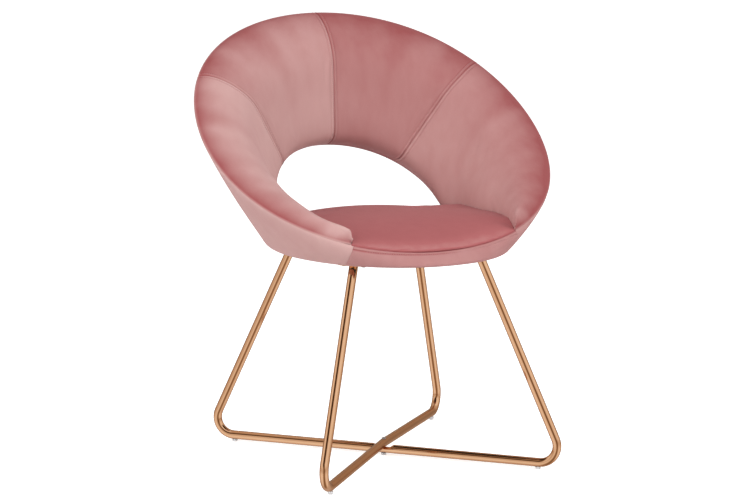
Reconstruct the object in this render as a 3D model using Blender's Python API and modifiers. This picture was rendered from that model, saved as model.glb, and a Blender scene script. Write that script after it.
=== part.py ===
"""Open-back round accent chair: a padded velvet bowl on two crossed bent-tube leg frames.

Metres, +Z up. The sitter faces -Y. The origin is on the floor, under the crossing of the tubes.
The bowl is described by an angle theta round the vertical axis: 0 at the front, pi at the back.
"""
import math

import bmesh
import bpy
import numpy as np

# Rim of the bowl
RIM_HALF_WIDTH = 0.334      # half the width across the arms
RIM_FULLNESS = 0.005        # how far the plan is squarer than an ellipse
RIM_HALF_DEPTH = 0.260      # half the depth from front edge to top edge
RIM_SETBACK = 0.050         # how far the middle of the rim lies behind the crossing
RIM_SLOPE = 0.712           # rise of the rim per metre towards the back
RIM_DISH = 0.013            # how far the sides of the rim sag below its plane
FRONT_HEIGHT = 0.025        # rim above the underside, at the front
FRONT_SEAM_DEG = 27.4       # where the arms end and the front band begins
SIDE_SEAM_DEG = 123.0       # seam between an arm panel and a back panel

# Underside and shell
BASE_HEIGHT = 0.387         # underside of the upholstery above the floor
BASE_HALF_WIDTH = 0.210
BASE_HALF_DEPTH = 0.233
BASE_CORNER = 0.013         # rounding between side and underside
SHELL_BULGE = 0.009         # outward belly of the side
TURN_UNDER = 0.018          # cover folded under beyond the rounding
COVER = 0.002               # velvet with its backing
CORE = 0.008                # moulded plywood shell
CORE_NOSE = 0.004           # the shell thinned at the front ends of the arms
CORE_EDGE = 0.008           # padding that wraps over the shell's edges
CORE_CHAMFER = 0.004        # lower corner of the shell kept clear of the rounded cover

# Padding of the arms and back
PAD_HEIGHT = 0.072          # crown of the padding above the shell, at the back
PAD_RISE = 0.099            # distance from the rim to that crown
ARM_HEIGHT = 0.055          # the same two sizes at the arms
ARM_RISE = 0.045
NOSE_HEIGHT = 0.036         # and at the front end of an arm
PAD_ROUND = 1.8             # exponent of the roll at the rim
PAD_END = 0.74              # share of the crown left at the hole
HOLE_ROLL = 0.017           # length of the roll round the hole
HOLE_ROUND = 2.3            # exponent of that roll
HOLE_DROP = 0.249           # rim to hole along the shell, at the back
HOLE_WIDEN = 0.114          # how fast the hole drops away towards the sides
HOLE_SWEEP = 0.235
PAD_FOOT_DEPTH = 0.214      # half depth of the oval that the arm padding slopes down to
NOSE_DEG = 7.0              # rounded front end of an arm
NOSE_SHARE = 0.40           # share of the section left at the tip of the nose
ARM_INNER = 0.196           # half width between the inner walls of the arms, beside the seat
ARM_NARROW = 0.040          # how much less that is at the front
ARM_PINCH = 0.008           # and behind the middle
ARM_NARROW_FROM = 0.045     # where it starts to narrow, in front of the middle
ARM_NARROW_LENGTH = 0.145   # distance over which it narrows
ARM_WALL_ROUND = 0.003      # rounding at the top of the inner wall
ARM_WALL_NEAR = 0.020       # padding this close to the wall is eased towards it
ARM_WALL_END = 0.110        # behind this the padding slopes freely again
ARM_WALL_FADE = 0.060
SEAM_DEPTH = 0.0022         # valley along a sewn seam
SEAM_DEG = 1.6              # half width of that valley

# Seat
SEAT_CROWN = 0.061          # top of the seat above the underside
SEAT_SIDE = 0.056           # seat against the arms, above the underside
SEAT_REAR = 0.002           # rear edge of the seat above the band behind it
SEAT_CLEARANCE = 0.0014     # between the seat and the arm panels
BOARD = 0.010               # plywood seat board
BOARD_INSET = 0.021         # board edge inside the outline of the underside
FOOT_ON_BOARD = 0.016       # least overlap of the shell's foot and the board
REAR_FOOT = 0.030           # foot of the shell under the hole
DUST_SHEET = 0.001          # non-woven cloth under the board

# Leg frames
TUBE = 0.016                # outer diameter
TUBE_WALL = 0.0015
BEND_RADIUS = 0.032         # to the middle of the tube
FOOT_REACH = 0.3434         # crossing to the corner of a foot
LEG_INSET = 0.0446          # leg tops inside the outline of the underside, on the diagonal
GLIDE_HEIGHT = 0.004        # glide under the lower tube
GLIDE_RADIUS = 0.005
GLIDE_STEM = 0.0025         # radius of the stem in the tube
CROSS_DENT = 0.0055         # lower tube flattened under the upper one
DENT_LENGTH = 0.020         # half length of the flattened stretch

# Fixings
PLATE = 0.003
PLATE_LENGTH = 0.054        # across the leg
PLATE_WIDTH = 0.028
PLATE_CORNER = 0.008
BOLT_PITCH = 0.036          # between the two bolts of a plate
BOLT_RADIUS = 0.003
BOLT_HEAD_RADIUS = 0.005
BOLT_HEAD = 0.0025
NUT_BARREL = 0.0042         # outer radius of the nut's barrel
NUT_FLANGE_RADIUS = 0.009
NUT_FLANGE = 0.0015
SCREW_RADIUS = 0.0018
SCREW_HEAD_RADIUS = 0.0038
SCREW_DEPTH = 0.008         # screw in the board
SCREW_DEGS = (48.0, 85.0, 112.0)
CROSS_BOLT_RADIUS = 0.0025
CROSS_HEAD_RADIUS = 0.0045
CROSS_HEAD = 0.0014

GAP = 0.0003                # between pieces that touch
FIT = 0.0003                # round a bolt, stem or screw

ROUND_SIDES = 12
ARM_STEPS = 10
BACK_STEPS = 5
FRONT_STEPS = 5
SIDE_ROWS = 7
PAD_POINTS = SIDE_ROWS + 4

# Levels that several pieces share
Z_BOARD = BASE_HEIGHT + COVER + GAP
Z_BOARD_TOP = Z_BOARD + BOARD
Z_FOOT = Z_BOARD_TOP + GAP
Z_FOOT_TOP = Z_FOOT + CORE
Z_FLOOR = Z_FOOT_TOP + GAP
Z_STRIP = Z_FOOT_TOP + GAP
Z_BAND = Z_STRIP + GAP + COVER
Z_DUST = BASE_HEIGHT - GAP - DUST_SHEET
Z_PLATE_TOP = Z_DUST - GAP
Z_PLATE = Z_PLATE_TOP - PLATE
CORE_OUT = COVER + GAP
FRONT_SEAM = math.radians(FRONT_SEAM_DEG)
SIDE_SEAM = math.radians(SIDE_SEAM_DEG)
SEAM_SPLIT = GAP / RIM_HALF_WIDTH
# the oval of the underside measured along its diagonal, and the leg tops inside it
UNDERSIDE_DIAGONAL = math.sqrt(2.0) / math.hypot(1 / BASE_HALF_WIDTH, 1 / BASE_HALF_DEPTH)
LEG_TOP_REACH = UNDERSIDE_DIAGONAL - LEG_INSET


# Scene and collections
for old in list(bpy.data.objects):
    bpy.data.objects.remove(old, do_unlink=True)
parts = bpy.data.collections.new("round_accent_chair")
cutters = bpy.data.collections.new("cutters")
bpy.context.scene.collection.children.link(parts)
bpy.context.scene.collection.children.link(cutters)
root = bpy.data.objects.new("chair_frame", None)
parts.objects.link(root)


def material(name, colour, roughness, metallic=0.0):
    """One Principled material for one piece."""
    mat = bpy.data.materials.new(name)
    mat.use_nodes = True
    shader = mat.node_tree.nodes["Principled BSDF"]
    shader.inputs["Base Color"].default_value = (*colour, 1.0)
    shader.inputs["Roughness"].default_value = roughness
    shader.inputs["Metallic"].default_value = metallic
    return mat


FINISH = {
    "velvet": ((0.50, 0.22, 0.21), 0.85, 0.0),
    "seat_velvet": ((0.42, 0.15, 0.15), 0.85, 0.0),
    "foam": ((0.85, 0.80, 0.62), 0.95, 0.0),
    "plywood": ((0.62, 0.45, 0.27), 0.70, 0.0),
    "tube": ((0.72, 0.42, 0.22), 0.15, 1.0),
    "steel": ((0.55, 0.55, 0.56), 0.35, 1.0),
    "clear": ((0.85, 0.87, 0.90), 0.20, 0.0),
    "cloth": ((0.03, 0.03, 0.03), 0.95, 0.0),
}


def add_part(name, mesh, finish):
    """Link a mesh as one named piece with its own material."""
    obj = bpy.data.objects.new(name, mesh)
    parts.objects.link(obj)
    obj.parent = root
    colour, roughness, metallic = FINISH[finish]
    mesh.materials.clear()
    mesh.materials.append(material(name, colour, roughness, metallic))
    mesh.shade_smooth()
    mesh.set_sharp_from_angle(angle=math.radians(40.0))
    return obj


def finish_mesh(bm, name):
    """Weld, drop empty faces, point the faces outward and return the mesh."""
    bmesh.ops.remove_doubles(bm, verts=bm.verts[:], dist=1e-6)
    bmesh.ops.dissolve_degenerate(bm, edges=bm.edges[:], dist=1e-7)
    bmesh.ops.recalc_face_normals(bm, faces=bm.faces[:])
    mesh = bpy.data.meshes.new(name)
    bm.to_mesh(mesh)
    bm.free()
    return mesh


def mesh_of(points, faces, name):
    """Mesh from loft points and faces."""
    bm = bmesh.new()
    verts = [bm.verts.new(tuple(p)) for p in points]
    for face in faces:
        bm.faces.new([verts[i] for i in face])
    return finish_mesh(bm, name)


def layer(name, outer, inner, closed=False, hole=None, turns=()):
    """Loft a layer between two grids of points, stations by rows, leaving out the hole cells.

    Rows that meet are welded first, so a slit that closes to nothing leaves no wall behind.
    Every cell is split from front to back, so neighbouring layers stay parallel; the stations
    in turns run from back to front, so their cells are split the other way.
    """
    stations, rows = outer.shape[:2]
    ids = {}
    number = np.zeros((stations, rows), int)
    points = []
    for i in range(stations):
        for j in range(rows):
            key = tuple(np.round(outer[i, j], 6))
            if key not in ids:
                ids[key] = len(points)
                points.append((outer[i, j], inner[i, j]))
            number[i, j] = ids[key]
    count = len(points)
    faces = []
    edges = {}
    for i in range(stations if closed else stations - 1):
        k = (i + 1) % stations
        for j in range(rows - 1):
            if hole is not None and hole[i, j]:
                continue
            loop = [number[i, j], number[k, j], number[k, j + 1], number[i, j + 1]]
            if i in turns:
                loop = loop[1:] + loop[:1]
            loop = [v for n, v in enumerate(loop) if v != loop[n - 1]]
            if len(loop) < 3:
                continue
            for tri in (loop[:3], [loop[0]] + loop[2:]):
                if len(tri) == 3:
                    faces.append(tri)
                    faces.append([v + count for v in reversed(tri)])
            for n, v in enumerate(loop):
                edges[(loop[n - 1], v)] = True
    for a, b in edges:
        if (b, a) not in edges:
            faces.append([b, a, a + count, b + count])
    return mesh_of([p[0] for p in points] + [p[1] for p in points], faces, name)


def turned(name, profile, closed=False, steps=ROUND_SIDES):
    """Spin a profile of (radius, height) pairs once round Z."""
    bm = bmesh.new()
    verts = [bm.verts.new((r, 0.0, z)) for r, z in profile]
    ring = verts + verts[:1] if closed else verts
    edges = [bm.edges.new((a, b)) for a, b in zip(ring[:-1], ring[1:])]
    bmesh.ops.spin(bm, geom=verts + edges, cent=(0, 0, 0), axis=(0, 0, 1),
                   angle=2 * math.pi, steps=steps, use_merge=True)
    return finish_mesh(bm, name)


def add_cutter(name, meshes_at):
    """Join turned meshes at their places into one hidden cutter."""
    bm = bmesh.new()
    for mesh, place in meshes_at:
        start = len(bm.verts)
        bm.from_mesh(mesh)
        bm.verts.ensure_lookup_table()
        bmesh.ops.translate(bm, verts=bm.verts[start:], vec=place)
    mesh = bpy.data.meshes.new(name)
    bm.to_mesh(mesh)
    bm.free()
    obj = bpy.data.objects.new(name, mesh)
    cutters.objects.link(obj)
    obj.hide_render = True
    obj.display_type = "WIRE"
    return obj


def cut(obj, cutter):
    """Subtract a cutter from a piece."""
    step = obj.modifiers.new("cut", "BOOLEAN")
    step.operation = "DIFFERENCE"
    step.solver = "EXACT"
    step.object = cutter


# Curves and surfaces of the bowl
def rim(theta):
    """Rim line of the bowl."""
    wide = (RIM_HALF_WIDTH + RIM_FULLNESS) * np.sin(theta)
    x = wide + RIM_FULLNESS * np.sin(3 * theta)
    deep = RIM_HALF_DEPTH * (1 - np.cos(theta))
    y = RIM_SETBACK - RIM_HALF_DEPTH + deep
    z = BASE_HEIGHT + FRONT_HEIGHT + RIM_SLOPE * deep - RIM_DISH * np.sin(theta) ** 2
    return np.stack([x, y, z], -1)


def base(theta, front_depth):
    """Oval that the bowl's side runs down to."""
    depth = np.where(np.cos(theta) > 0, front_depth, BASE_HALF_DEPTH)
    z = BASE_HEIGHT + 0 * theta
    return np.stack([BASE_HALF_WIDTH * np.sin(theta), -depth * np.cos(theta), z], -1)


def unit(v):
    """Vectors of length one."""
    return v / np.linalg.norm(v, axis=-1, keepdims=True)


def side_frame(theta, front_depth=BASE_HALF_DEPTH):
    """Rim point, direction down the side, inward normal and inward level direction."""
    step = 1e-3
    top = rim(theta)
    foot = base(theta, front_depth)
    down = unit(foot - top)
    ahead = rim(theta + step) - rim(theta - step)
    ahead = ahead + base(theta + step, front_depth) - base(theta - step, front_depth)
    inward = unit(np.cross(ahead, down))
    level = unit(-foot * np.array([1.0, 1.0, 0.0]))
    return top, down, inward, level


def smooth(value, low, high):
    """Smooth step from 0 at low to 1 at high."""
    t = np.clip((value - low) / (high - low), 0.0, 1.0)
    return t * t * (3.0 - 2.0 * t)


def hole_distance(theta):
    """Distance from the rim to the hole, measured down the side."""
    front = (1 + np.cos(theta)) / 2
    return HOLE_DROP + HOLE_WIDEN * front + HOLE_SWEEP * front ** 2


def side_length(theta):
    """Distance down the side from the rim to the underside."""
    return np.linalg.norm(base(theta, BASE_HALF_DEPTH) - rim(theta), axis=-1)


def side_point(theta, along, depth):
    """Point of the shell: a distance down from the rim and a depth inside the outer face."""
    top, down, inward, _ = (v[0] for v in side_frame(np.array([theta])))
    length = float(side_length(theta))
    share = min(max(along / length, 0.0), 1.0)
    belly = SHELL_BULGE * min(1.0, length / RIM_HALF_DEPTH) * 4 * share * (1 - share)
    return top + down * along + inward * (depth - belly)


def side_at_height(theta, height, depth):
    """Distance down the side where a layer at this depth reaches a height."""
    fall = -side_frame(np.array([theta]))[1][0, 2]
    along = 0.0
    for _ in range(12):
        along += (side_point(theta, along, depth)[2] - height) / fall
    return along


def pad_sizes(theta):
    """Height and rise of the padding at one angle."""
    front = (1 + math.cos(theta)) / 2
    arm = float(smooth(front, 0.50, 0.85))
    slim = float(smooth(front, 0.46, 0.80))
    nose = min(max((abs(theta) - FRONT_SEAM) / math.radians(NOSE_DEG), 0.0), 1.0)
    nose = NOSE_SHARE + (1 - NOSE_SHARE) * math.sqrt(1 - (1 - nose) ** 2)
    grown = float(smooth(theta, FRONT_SEAM, math.radians(62.0)))
    arm_height = NOSE_HEIGHT + (ARM_HEIGHT - NOSE_HEIGHT) * grown
    height = (PAD_HEIGHT * (1 - 0.12 * front) * (1 - arm) + arm_height * arm) * nose
    rise = (PAD_RISE * (1 - slim) + ARM_RISE * slim) * nose
    return height, rise


def pad_frame(theta):
    """Rim point, direction down the padding and direction off it."""
    return [v[0] for v in side_frame(np.array([theta]), PAD_FOOT_DEPTH)[:3]]


def arm_wall(theta, line):
    """Section line kept outside the upright inner wall of the arm, and clear of the shell."""
    top, down, off = pad_frame(theta)
    points = top + down * line[:, :1] + off * line[:, 1:]
    narrow = np.clip((-ARM_NARROW_FROM - points[:, 1]) / ARM_NARROW_LENGTH, 0.0, None)
    pinch = ARM_PINCH * smooth(points[:, 1], -ARM_NARROW_FROM, 0.0)
    beyond = ARM_INNER - pinch - ARM_NARROW * narrow ** 1.5 - points[:, 0]
    push = (beyond + np.sqrt(beyond ** 2 + ARM_WALL_ROUND ** 2)) / 2
    behind = smooth(points[:, 1], ARM_WALL_END - ARM_WALL_FADE, ARM_WALL_END)
    push = push * (1 - behind) * smooth(beyond, -ARM_WALL_NEAR, 0.0)
    push = push * float(smooth(theta, FRONT_SEAM, FRONT_SEAM + math.radians(2 * NOSE_DEG)))
    level = np.array([off[2], -down[2]])
    sideways = level[0] * down[0] + level[1] * off[0]
    least = core_depth(theta) + 3 * COVER + GAP
    room = np.maximum(line[:, 1] - least, 0.0) * -sideways / level[1]
    return line + np.minimum(push, room)[:, None] * level / sideways


def seam_valley(theta):
    """Depth of the sewn valley at one angle."""
    deep = 0.0
    for seam in (SIDE_SEAM, math.pi):
        off = abs(theta - seam) / math.radians(SEAM_DEG)
        deep = max(deep, SEAM_DEPTH * max(0.0, 1 - off) ** 2)
    return deep


def pad_section(theta, count):
    """Outline of the padding at one angle as (down the side, off the side) pairs.

    A roll at the rim, a straight fall and a roll at the hole, cut off at the shell or at its foot.
    """
    sewn = seam_valley(theta)
    top, down, off = pad_frame(theta)
    height, rise = pad_sizes(theta)
    reach = (top[2] - BASE_HEIGHT) / -down[2] + CORE + BOARD + HOLE_ROLL
    on_foot = ends_on_foot(theta)
    end = reach if on_foot else float(hole_distance(theta))
    straight = max(end - HOLE_ROLL, rise + HOLE_ROLL)
    last = height * PAD_END
    t = np.linspace(0.0, math.pi / 2, 240)
    roll_s = rise - (rise - sewn) * np.cos(t) ** (2 / PAD_ROUND)
    roll_n = (height - sewn) * np.sin(t) ** (2 / PAD_ROUND)
    fall_s = np.linspace(rise, straight, 240)[1:]
    fall_n = np.linspace(height, last, 240)[1:] - sewn
    edge_s = straight + (HOLE_ROLL - sewn) * np.sin(t[1:]) ** (2 / HOLE_ROUND)
    edge_n = (last - sewn) * np.cos(t[1:]) ** (2 / HOLE_ROUND)
    s = np.concatenate([roll_s, fall_s, edge_s])
    n = np.concatenate([roll_n, fall_n, edge_n])
    if on_foot:
        s, n = arm_wall(theta, np.stack([s, n], -1)).T
    z = top[2] + down[2] * s + off[2] * n
    start = int(np.argmax(n >= CORE_OUT))
    order = np.arange(len(s))
    past = z < Z_FLOOR if on_foot else n < CORE_OUT
    stop = int(order[(order > int(np.argmax(n))) & past][0])
    if on_foot:
        share = (z[stop - 1] - Z_FLOOR) / (z[stop - 1] - z[stop])
    else:
        share = (n[stop - 1] - CORE_OUT) / (n[stop - 1] - n[stop])
    line = np.stack([s, n], -1)
    tail = line[stop - 1] + (line[stop] - line[stop - 1]) * share
    line = np.vstack([line[start:stop], tail])
    lengths = np.concatenate([[0.0], np.cumsum(np.linalg.norm(np.diff(line, axis=0), axis=1))])
    # closer points at both rolls than along the straight fall
    wanted = lengths[-1] * (1 - np.cos(np.linspace(0.0, math.pi, count))) / 2
    return np.stack([np.interp(wanted, lengths, line[:, k]) for k in range(2)], -1)


def pad_curve(theta, inset, count=PAD_POINTS):
    """Padding outline in space, moved square into the padding by an inset.

    Neighbouring layers keep the same corners, so their facets stay parallel.
    """
    line = pad_section(theta, count)
    top, down, off = pad_frame(theta)
    run = unit(np.diff(line, axis=0))
    square = np.stack([run[:, 1], -run[:, 0]], -1)
    before = np.vstack([square[:1], square])
    after = np.vstack([square, square[-1:]])
    middle = unit(before + after)
    move = middle / np.sum(middle * after, axis=-1, keepdims=True)
    # the ends slide along the shell and along the foot
    move[0] = np.array([1.0, 0.0]) / square[0, 0]
    slide = np.array([off[2], -down[2]]) if ends_on_foot(theta) else np.array([1.0, 0.0])
    move[-1] = slide / (slide @ square[-1])
    line = line + move * inset
    return top + down * line[:, :1] + off * line[:, 1:]


def pad_at_height(theta, height):
    """Point of the padding's inner slope at a height."""
    line = pad_curve(theta, 0.0)
    crown = int(np.argmax(line[:, 2]))
    fall = line[crown:]
    level = np.clip(height, fall[-1, 2], fall[0, 2])
    order = np.argsort(fall[:, 2])
    return np.array([np.interp(level, fall[order, 2], fall[order, k]) for k in range(2)])


def ends_on_foot(theta):
    """True where the padding comes down to the foot of the shell, false along the hole."""
    return theta < HOLE_CORNER + 1e-6


# Stations round the bowl, right half, front to back
nose_stations = FRONT_SEAM + np.radians([0.0, 1.0, 3.0]) * NOSE_DEG / 7.0
seam_room = math.radians(SEAM_DEG)
arm_stations = np.linspace(FRONT_SEAM + math.radians(NOSE_DEG), SIDE_SEAM - seam_room, ARM_STEPS)
back_stations = np.linspace(SIDE_SEAM + seam_room, math.pi - seam_room, BACK_STEPS)
shell_stations = np.concatenate([nose_stations, arm_stations, [SIDE_SEAM], back_stations, [math.pi]])
front_stations = np.linspace(0.0, FRONT_SEAM, FRONT_STEPS)

# Where the hole's corner meets the band under it
low, high = math.pi / 2, math.pi
for _ in range(40):
    HOLE_CORNER = (low + high) / 2
    if hole_distance(HOLE_CORNER) > side_at_height(HOLE_CORNER, Z_BAND, 0.0):
        low = HOLE_CORNER
    else:
        high = HOLE_CORNER
shell_stations = np.sort(np.append(shell_stations, HOLE_CORNER))
arm_stations = np.sort(np.append(arm_stations, HOLE_CORNER))


def mirrored(grid):
    """Right-hand grid continued over the back to the left-hand side."""
    left = grid[:-1][::-1] * np.array([-1.0, 1.0, 1.0])
    return np.concatenate([grid, left])


def flipped(grid):
    """Left-hand copy of a right-hand grid."""
    return grid * np.array([-1.0, 1.0, 1.0])


def side_distances(theta):
    """Distances down the side, from the padded upper edge of the shell to its edge at the hole or band."""
    end = min(float(hole_distance(theta)), side_at_height(theta, Z_BAND, 0.0))
    return np.linspace(CORE_EDGE, end - CORE_EDGE, SIDE_ROWS), end


def hole_cells(stations, rows, row):
    """Cells of the grid that lie in the hole: one row of cells behind the hole's corner."""
    cells = np.zeros((len(stations), rows - 1), bool)
    behind = np.abs(stations) > HOLE_CORNER - 1e-6
    cells[:, row] = behind & np.roll(behind, -1)
    return cells


def turned_under(theta, depth):
    """Lower end of the cover: round the corner and in under the board."""
    level = side_frame(np.array([theta]))[3][0]
    low = side_at_height(theta, BASE_HEIGHT + depth, depth)
    corner = side_point(theta, low, depth)
    start = side_point(theta, low - BASE_CORNER, depth)
    end = corner + level * BASE_CORNER
    middle = (start + 2 * corner + end) / 4
    return [start, middle, end, end + level * TURN_UNDER]


# Outer cover, one half each side of the centre-back seam
def cover_rows(theta, depth):
    """Rows of the outer cover from the rim down to its folded end."""
    along, end = side_distances(theta)
    rows = [side_point(theta, s, depth) for s in [0.0, *along, end]]
    rows.append(side_point(theta, side_at_height(theta, Z_BAND, 0.0), depth))
    return np.array(rows + turned_under(theta, depth))


cover_stations = shell_stations.copy()
cover_stations[0] += SEAM_SPLIT
cover_stations[-1] -= SEAM_SPLIT
cover_out = np.array([cover_rows(t, 0.0) for t in cover_stations])
cover_in = np.array([cover_rows(t, COVER) for t in cover_stations])
cells = hole_cells(cover_stations, cover_out.shape[1], SIDE_ROWS + 1)
add_part("outer_cover_right", layer("outer_cover_right", cover_out, cover_in, hole=cells), "velvet")
left_mesh = layer("outer_cover_left", flipped(cover_out), flipped(cover_in), hole=cells)
add_part("outer_cover_left", left_mesh, "velvet")

# Front band between the two front seams
band_half = front_stations.copy()
band_half[-1] -= SEAM_SPLIT
band_angles = np.concatenate([-band_half[:0:-1], band_half])


def band_rows(theta, depth):
    """Rows of the front band from the seam under the seat edge to its folded end."""
    low = side_at_height(theta, BASE_HEIGHT + depth, depth) - BASE_CORNER
    upper = [side_point(theta, s, depth) for s in (0.0, low / 3, low * 2 / 3)]
    return np.array(upper + turned_under(theta, depth))


band_out = np.array([band_rows(t, 0.0) for t in band_angles])
band_in = np.array([band_rows(t, COVER) for t in band_angles])
band_mesh = layer("front_band", band_out, band_in, turns=range(len(band_half) - 1))
add_part("front_band", band_mesh, "velvet")


# Moulded plywood shell with its foot
def core_depth(theta):
    """Depth of the shell's inner face, thinner at the noses."""
    share = float(smooth(theta - FRONT_SEAM, 0.0, 2 * math.radians(NOSE_DEG)))
    return CORE_OUT + CORE_NOSE + (CORE - CORE_NOSE) * share


def foot_end(theta):
    """Inner end of the shell's foot in plan."""
    level = side_frame(np.array([theta]))[3][0]
    if ends_on_foot(theta):
        end = pad_curve(theta, 0.0)[-1, :2]
        ledge = base(np.array([theta]), BASE_HALF_DEPTH)[0] + level * (BOARD_INSET + FOOT_ON_BOARD)
        return end if end @ level[:2] > ledge @ level else ledge[:2]
    along = side_at_height(theta, Z_FOOT, CORE_OUT)
    return (side_point(theta, along, CORE_OUT) + level * REAR_FOOT)[:2]


def core_rows(theta, depth, height):
    """Rows of one face of the shell, down its side and in along its foot at a height."""
    along, _ = side_distances(theta)
    rows = [side_point(theta, s, depth) for s in along]
    rows.append(side_point(theta, side_at_height(theta, Z_STRIP, depth), depth))
    corner = side_point(theta, side_at_height(theta, height, depth), depth)
    if height < Z_FOOT_TOP:
        corner += side_frame(np.array([theta]))[3][0] * CORE_CHAMFER
    tip = np.append(foot_end(theta), height)
    return np.array(rows + [corner, (corner + tip) / 2, tip])


core_stations = shell_stations[1:]
core_out = mirrored(np.array([core_rows(t, CORE_OUT, Z_FOOT) for t in core_stations]))
core_in = mirrored(np.array([core_rows(t, core_depth(t), Z_FOOT_TOP) for t in core_stations]))
both_sides = np.concatenate([core_stations, core_stations[:-1][::-1]])
cells = hole_cells(both_sides, core_out.shape[1], SIDE_ROWS - 1)
core_turns = range(len(core_stations) - 1, len(core_out))
core_mesh = layer("shell_core", core_out, core_in, hole=cells, turns=core_turns)
shell_core = add_part("shell_core", core_mesh, "plywood")


# Padding and sewn panels of the arms and back
def pad_bottom(theta):
    """Back face of the padding: round the shell's upper edge, down it and round its lower edge."""
    deep = core_depth(theta) + GAP
    along, _ = side_distances(theta)
    face = pad_curve(theta, COVER + GAP)
    along[0] -= GAP
    first = [face[0], side_point(theta, along[0], CORE_OUT)]
    if ends_on_foot(theta):
        tail = side_point(theta, side_at_height(theta, Z_FLOOR, deep), deep)
        last = [tail, face[-1]]
    else:
        along[-1] += GAP
        last = [side_point(theta, along[-1], CORE_OUT), face[-1]]
    return np.array(first + [side_point(theta, s, deep) for s in along] + last)


def panel_stations(first, last, stations):
    """Stations of one panel with a hair of room at its two seams."""
    return np.concatenate([[first + SEAM_SPLIT], stations, [last - SEAM_SPLIT]])


panels = {
    "arm": panel_stations(FRONT_SEAM, SIDE_SEAM, np.concatenate([nose_stations[1:], arm_stations])),
    "back": panel_stations(SIDE_SEAM, math.pi, back_stations),
}
for name, stations in panels.items():
    face = np.array([pad_curve(t, 0.0) for t in stations])
    lining = np.array([pad_curve(t, COVER) for t in stations])
    inside = stations[1:] if name == "arm" else stations
    foam_face = np.array([pad_curve(t, COVER + GAP) for t in inside])
    foam_back = np.array([pad_bottom(t) for t in inside])
    for side, turn in (("right", np.array), ("left", flipped)):
        label = name + "_panel_" + side
        add_part(label, layer(label, turn(face), turn(lining)), "velvet")
        label = name + "_foam_" + side
        add_part(label, layer(label, turn(foam_face), turn(foam_back)), "foam")


# Seat pad: cover and foam follow the arms at the sides and the band at the back
def seat_edge_height(theta):
    """Height of the edge of the seat's crown."""
    front = float(rim(np.array([min(theta, FRONT_SEAM)]))[0, 2])
    side = BASE_HEIGHT + SEAT_SIDE
    rear = Z_BAND + SEAT_REAR
    to_side = float(smooth(theta, FRONT_SEAM, math.radians(62.0)))
    to_rear = float(smooth(theta, HOLE_CORNER - math.radians(12.0), HOLE_CORNER + math.radians(22.0)))
    return (front * (1 - to_side) + side * to_side) * (1 - to_rear) + rear * to_rear


def seat_side(theta):
    """Outline of the seat at one angle from the board up to the edge of its crown."""
    edge = seat_edge_height(theta)
    if theta < FRONT_SEAM:
        rows = []
        for z in [Z_BOARD_TOP + GAP, *np.linspace(Z_FLOOR, edge, 4)]:
            along = max(side_at_height(theta, z, CORE_OUT), 0.0)
            rows.append(np.append(side_point(theta, along, CORE_OUT)[:2], z))
        return np.array(rows)
    level = side_frame(np.array([theta]))[3][0][:2]
    foot = foot_end(theta)
    rows = [np.append(foot, Z_BOARD_TOP + GAP), np.append(foot, Z_FLOOR)]
    rises = np.linspace(Z_FLOOR, edge, 4)[1:]
    pad = pad_curve(theta, 0.0, count=200)
    pad = pad[int(np.argmax(pad[:, 2])):]
    close = pad[pad[:, 2] < edge + SEAT_CROWN / 4]
    if ends_on_foot(theta):
        for z in rises:
            rows.append(np.append(pad_at_height(theta, z), z))
    elif len(close):
        limit = close[np.argmax(close[:, :2] @ level)][:2]
        for z in rises:
            rows.append(np.append(limit, z))
    else:
        strip = Z_STRIP + GAP
        for depth, z in ((core_depth(theta) + GAP, strip), (CORE_OUT, strip), (CORE_OUT, edge)):
            along = side_at_height(theta, strip, depth)
            rows.append(np.append(side_point(theta, along, depth)[:2], z))
    return np.array(rows)


def all_round(grid):
    """Closed ring of stations from the right half, without doubling front and back."""
    return np.concatenate([grid, flipped(grid[1:-1][::-1])])


def seat_grid(sides, inset):
    """Stations by rows of the seat, from the board to the middle of its crown, moved in by an inset."""
    rows = sides.copy()
    plan = sides[..., :2]
    before = unit(plan - np.roll(plan, 1, axis=0))
    after = unit(np.roll(plan, -1, axis=0) - plan)
    square_before = np.stack([-before[..., 1], before[..., 0]], -1)
    square_after = np.stack([-after[..., 1], after[..., 0]], -1)
    middle = unit(square_before + square_after)
    share = np.maximum(np.sum(middle * square_after, axis=-1, keepdims=True), 0.5)
    rows[..., :2] += middle / share * inset
    # the crown's edge slides down the wall as the layer goes inward
    wall = rows[:, -2] - rows[:, -1]
    rows[:, -1] += wall * np.minimum(1.3 * inset / -wall[:, 2:], 0.7)
    edge = sides[:, -1]
    crown = []
    for share in (0.93, 0.80, 0.50, 0.0):
        lift = (1 - share ** 2.4) ** 0.8
        ring = edge * np.array([share, share, 1.0])
        ring[:, 2] += (BASE_HEIGHT + SEAT_CROWN - edge[:, 2]) * lift - inset
        crown.append(ring)
    return np.concatenate([rows, np.stack(crown, 1)], axis=1)


half = np.concatenate([front_stations[:-1], shell_stations[2:]])
seat_sides = all_round(np.array([seat_side(t) for t in half]))
cover_out = seat_grid(seat_sides, SEAT_CLEARANCE)[:, 3:]
cover_in = seat_grid(seat_sides, SEAT_CLEARANCE + COVER)[:, 3:]
seat_mesh = layer("seat_cover", cover_out, cover_in, closed=True, turns=range(len(half) - 1, len(cover_out)))
add_part("seat_cover", seat_mesh, "seat_velvet")
foam_top = seat_grid(seat_sides, 2.7 * SEAT_CLEARANCE + COVER)
middle = np.broadcast_to(np.array([0.0, 0.0, Z_BOARD_TOP + GAP]), foam_top[:, :1].shape)
foam_rows = np.concatenate([middle, foam_top], axis=1)


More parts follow.
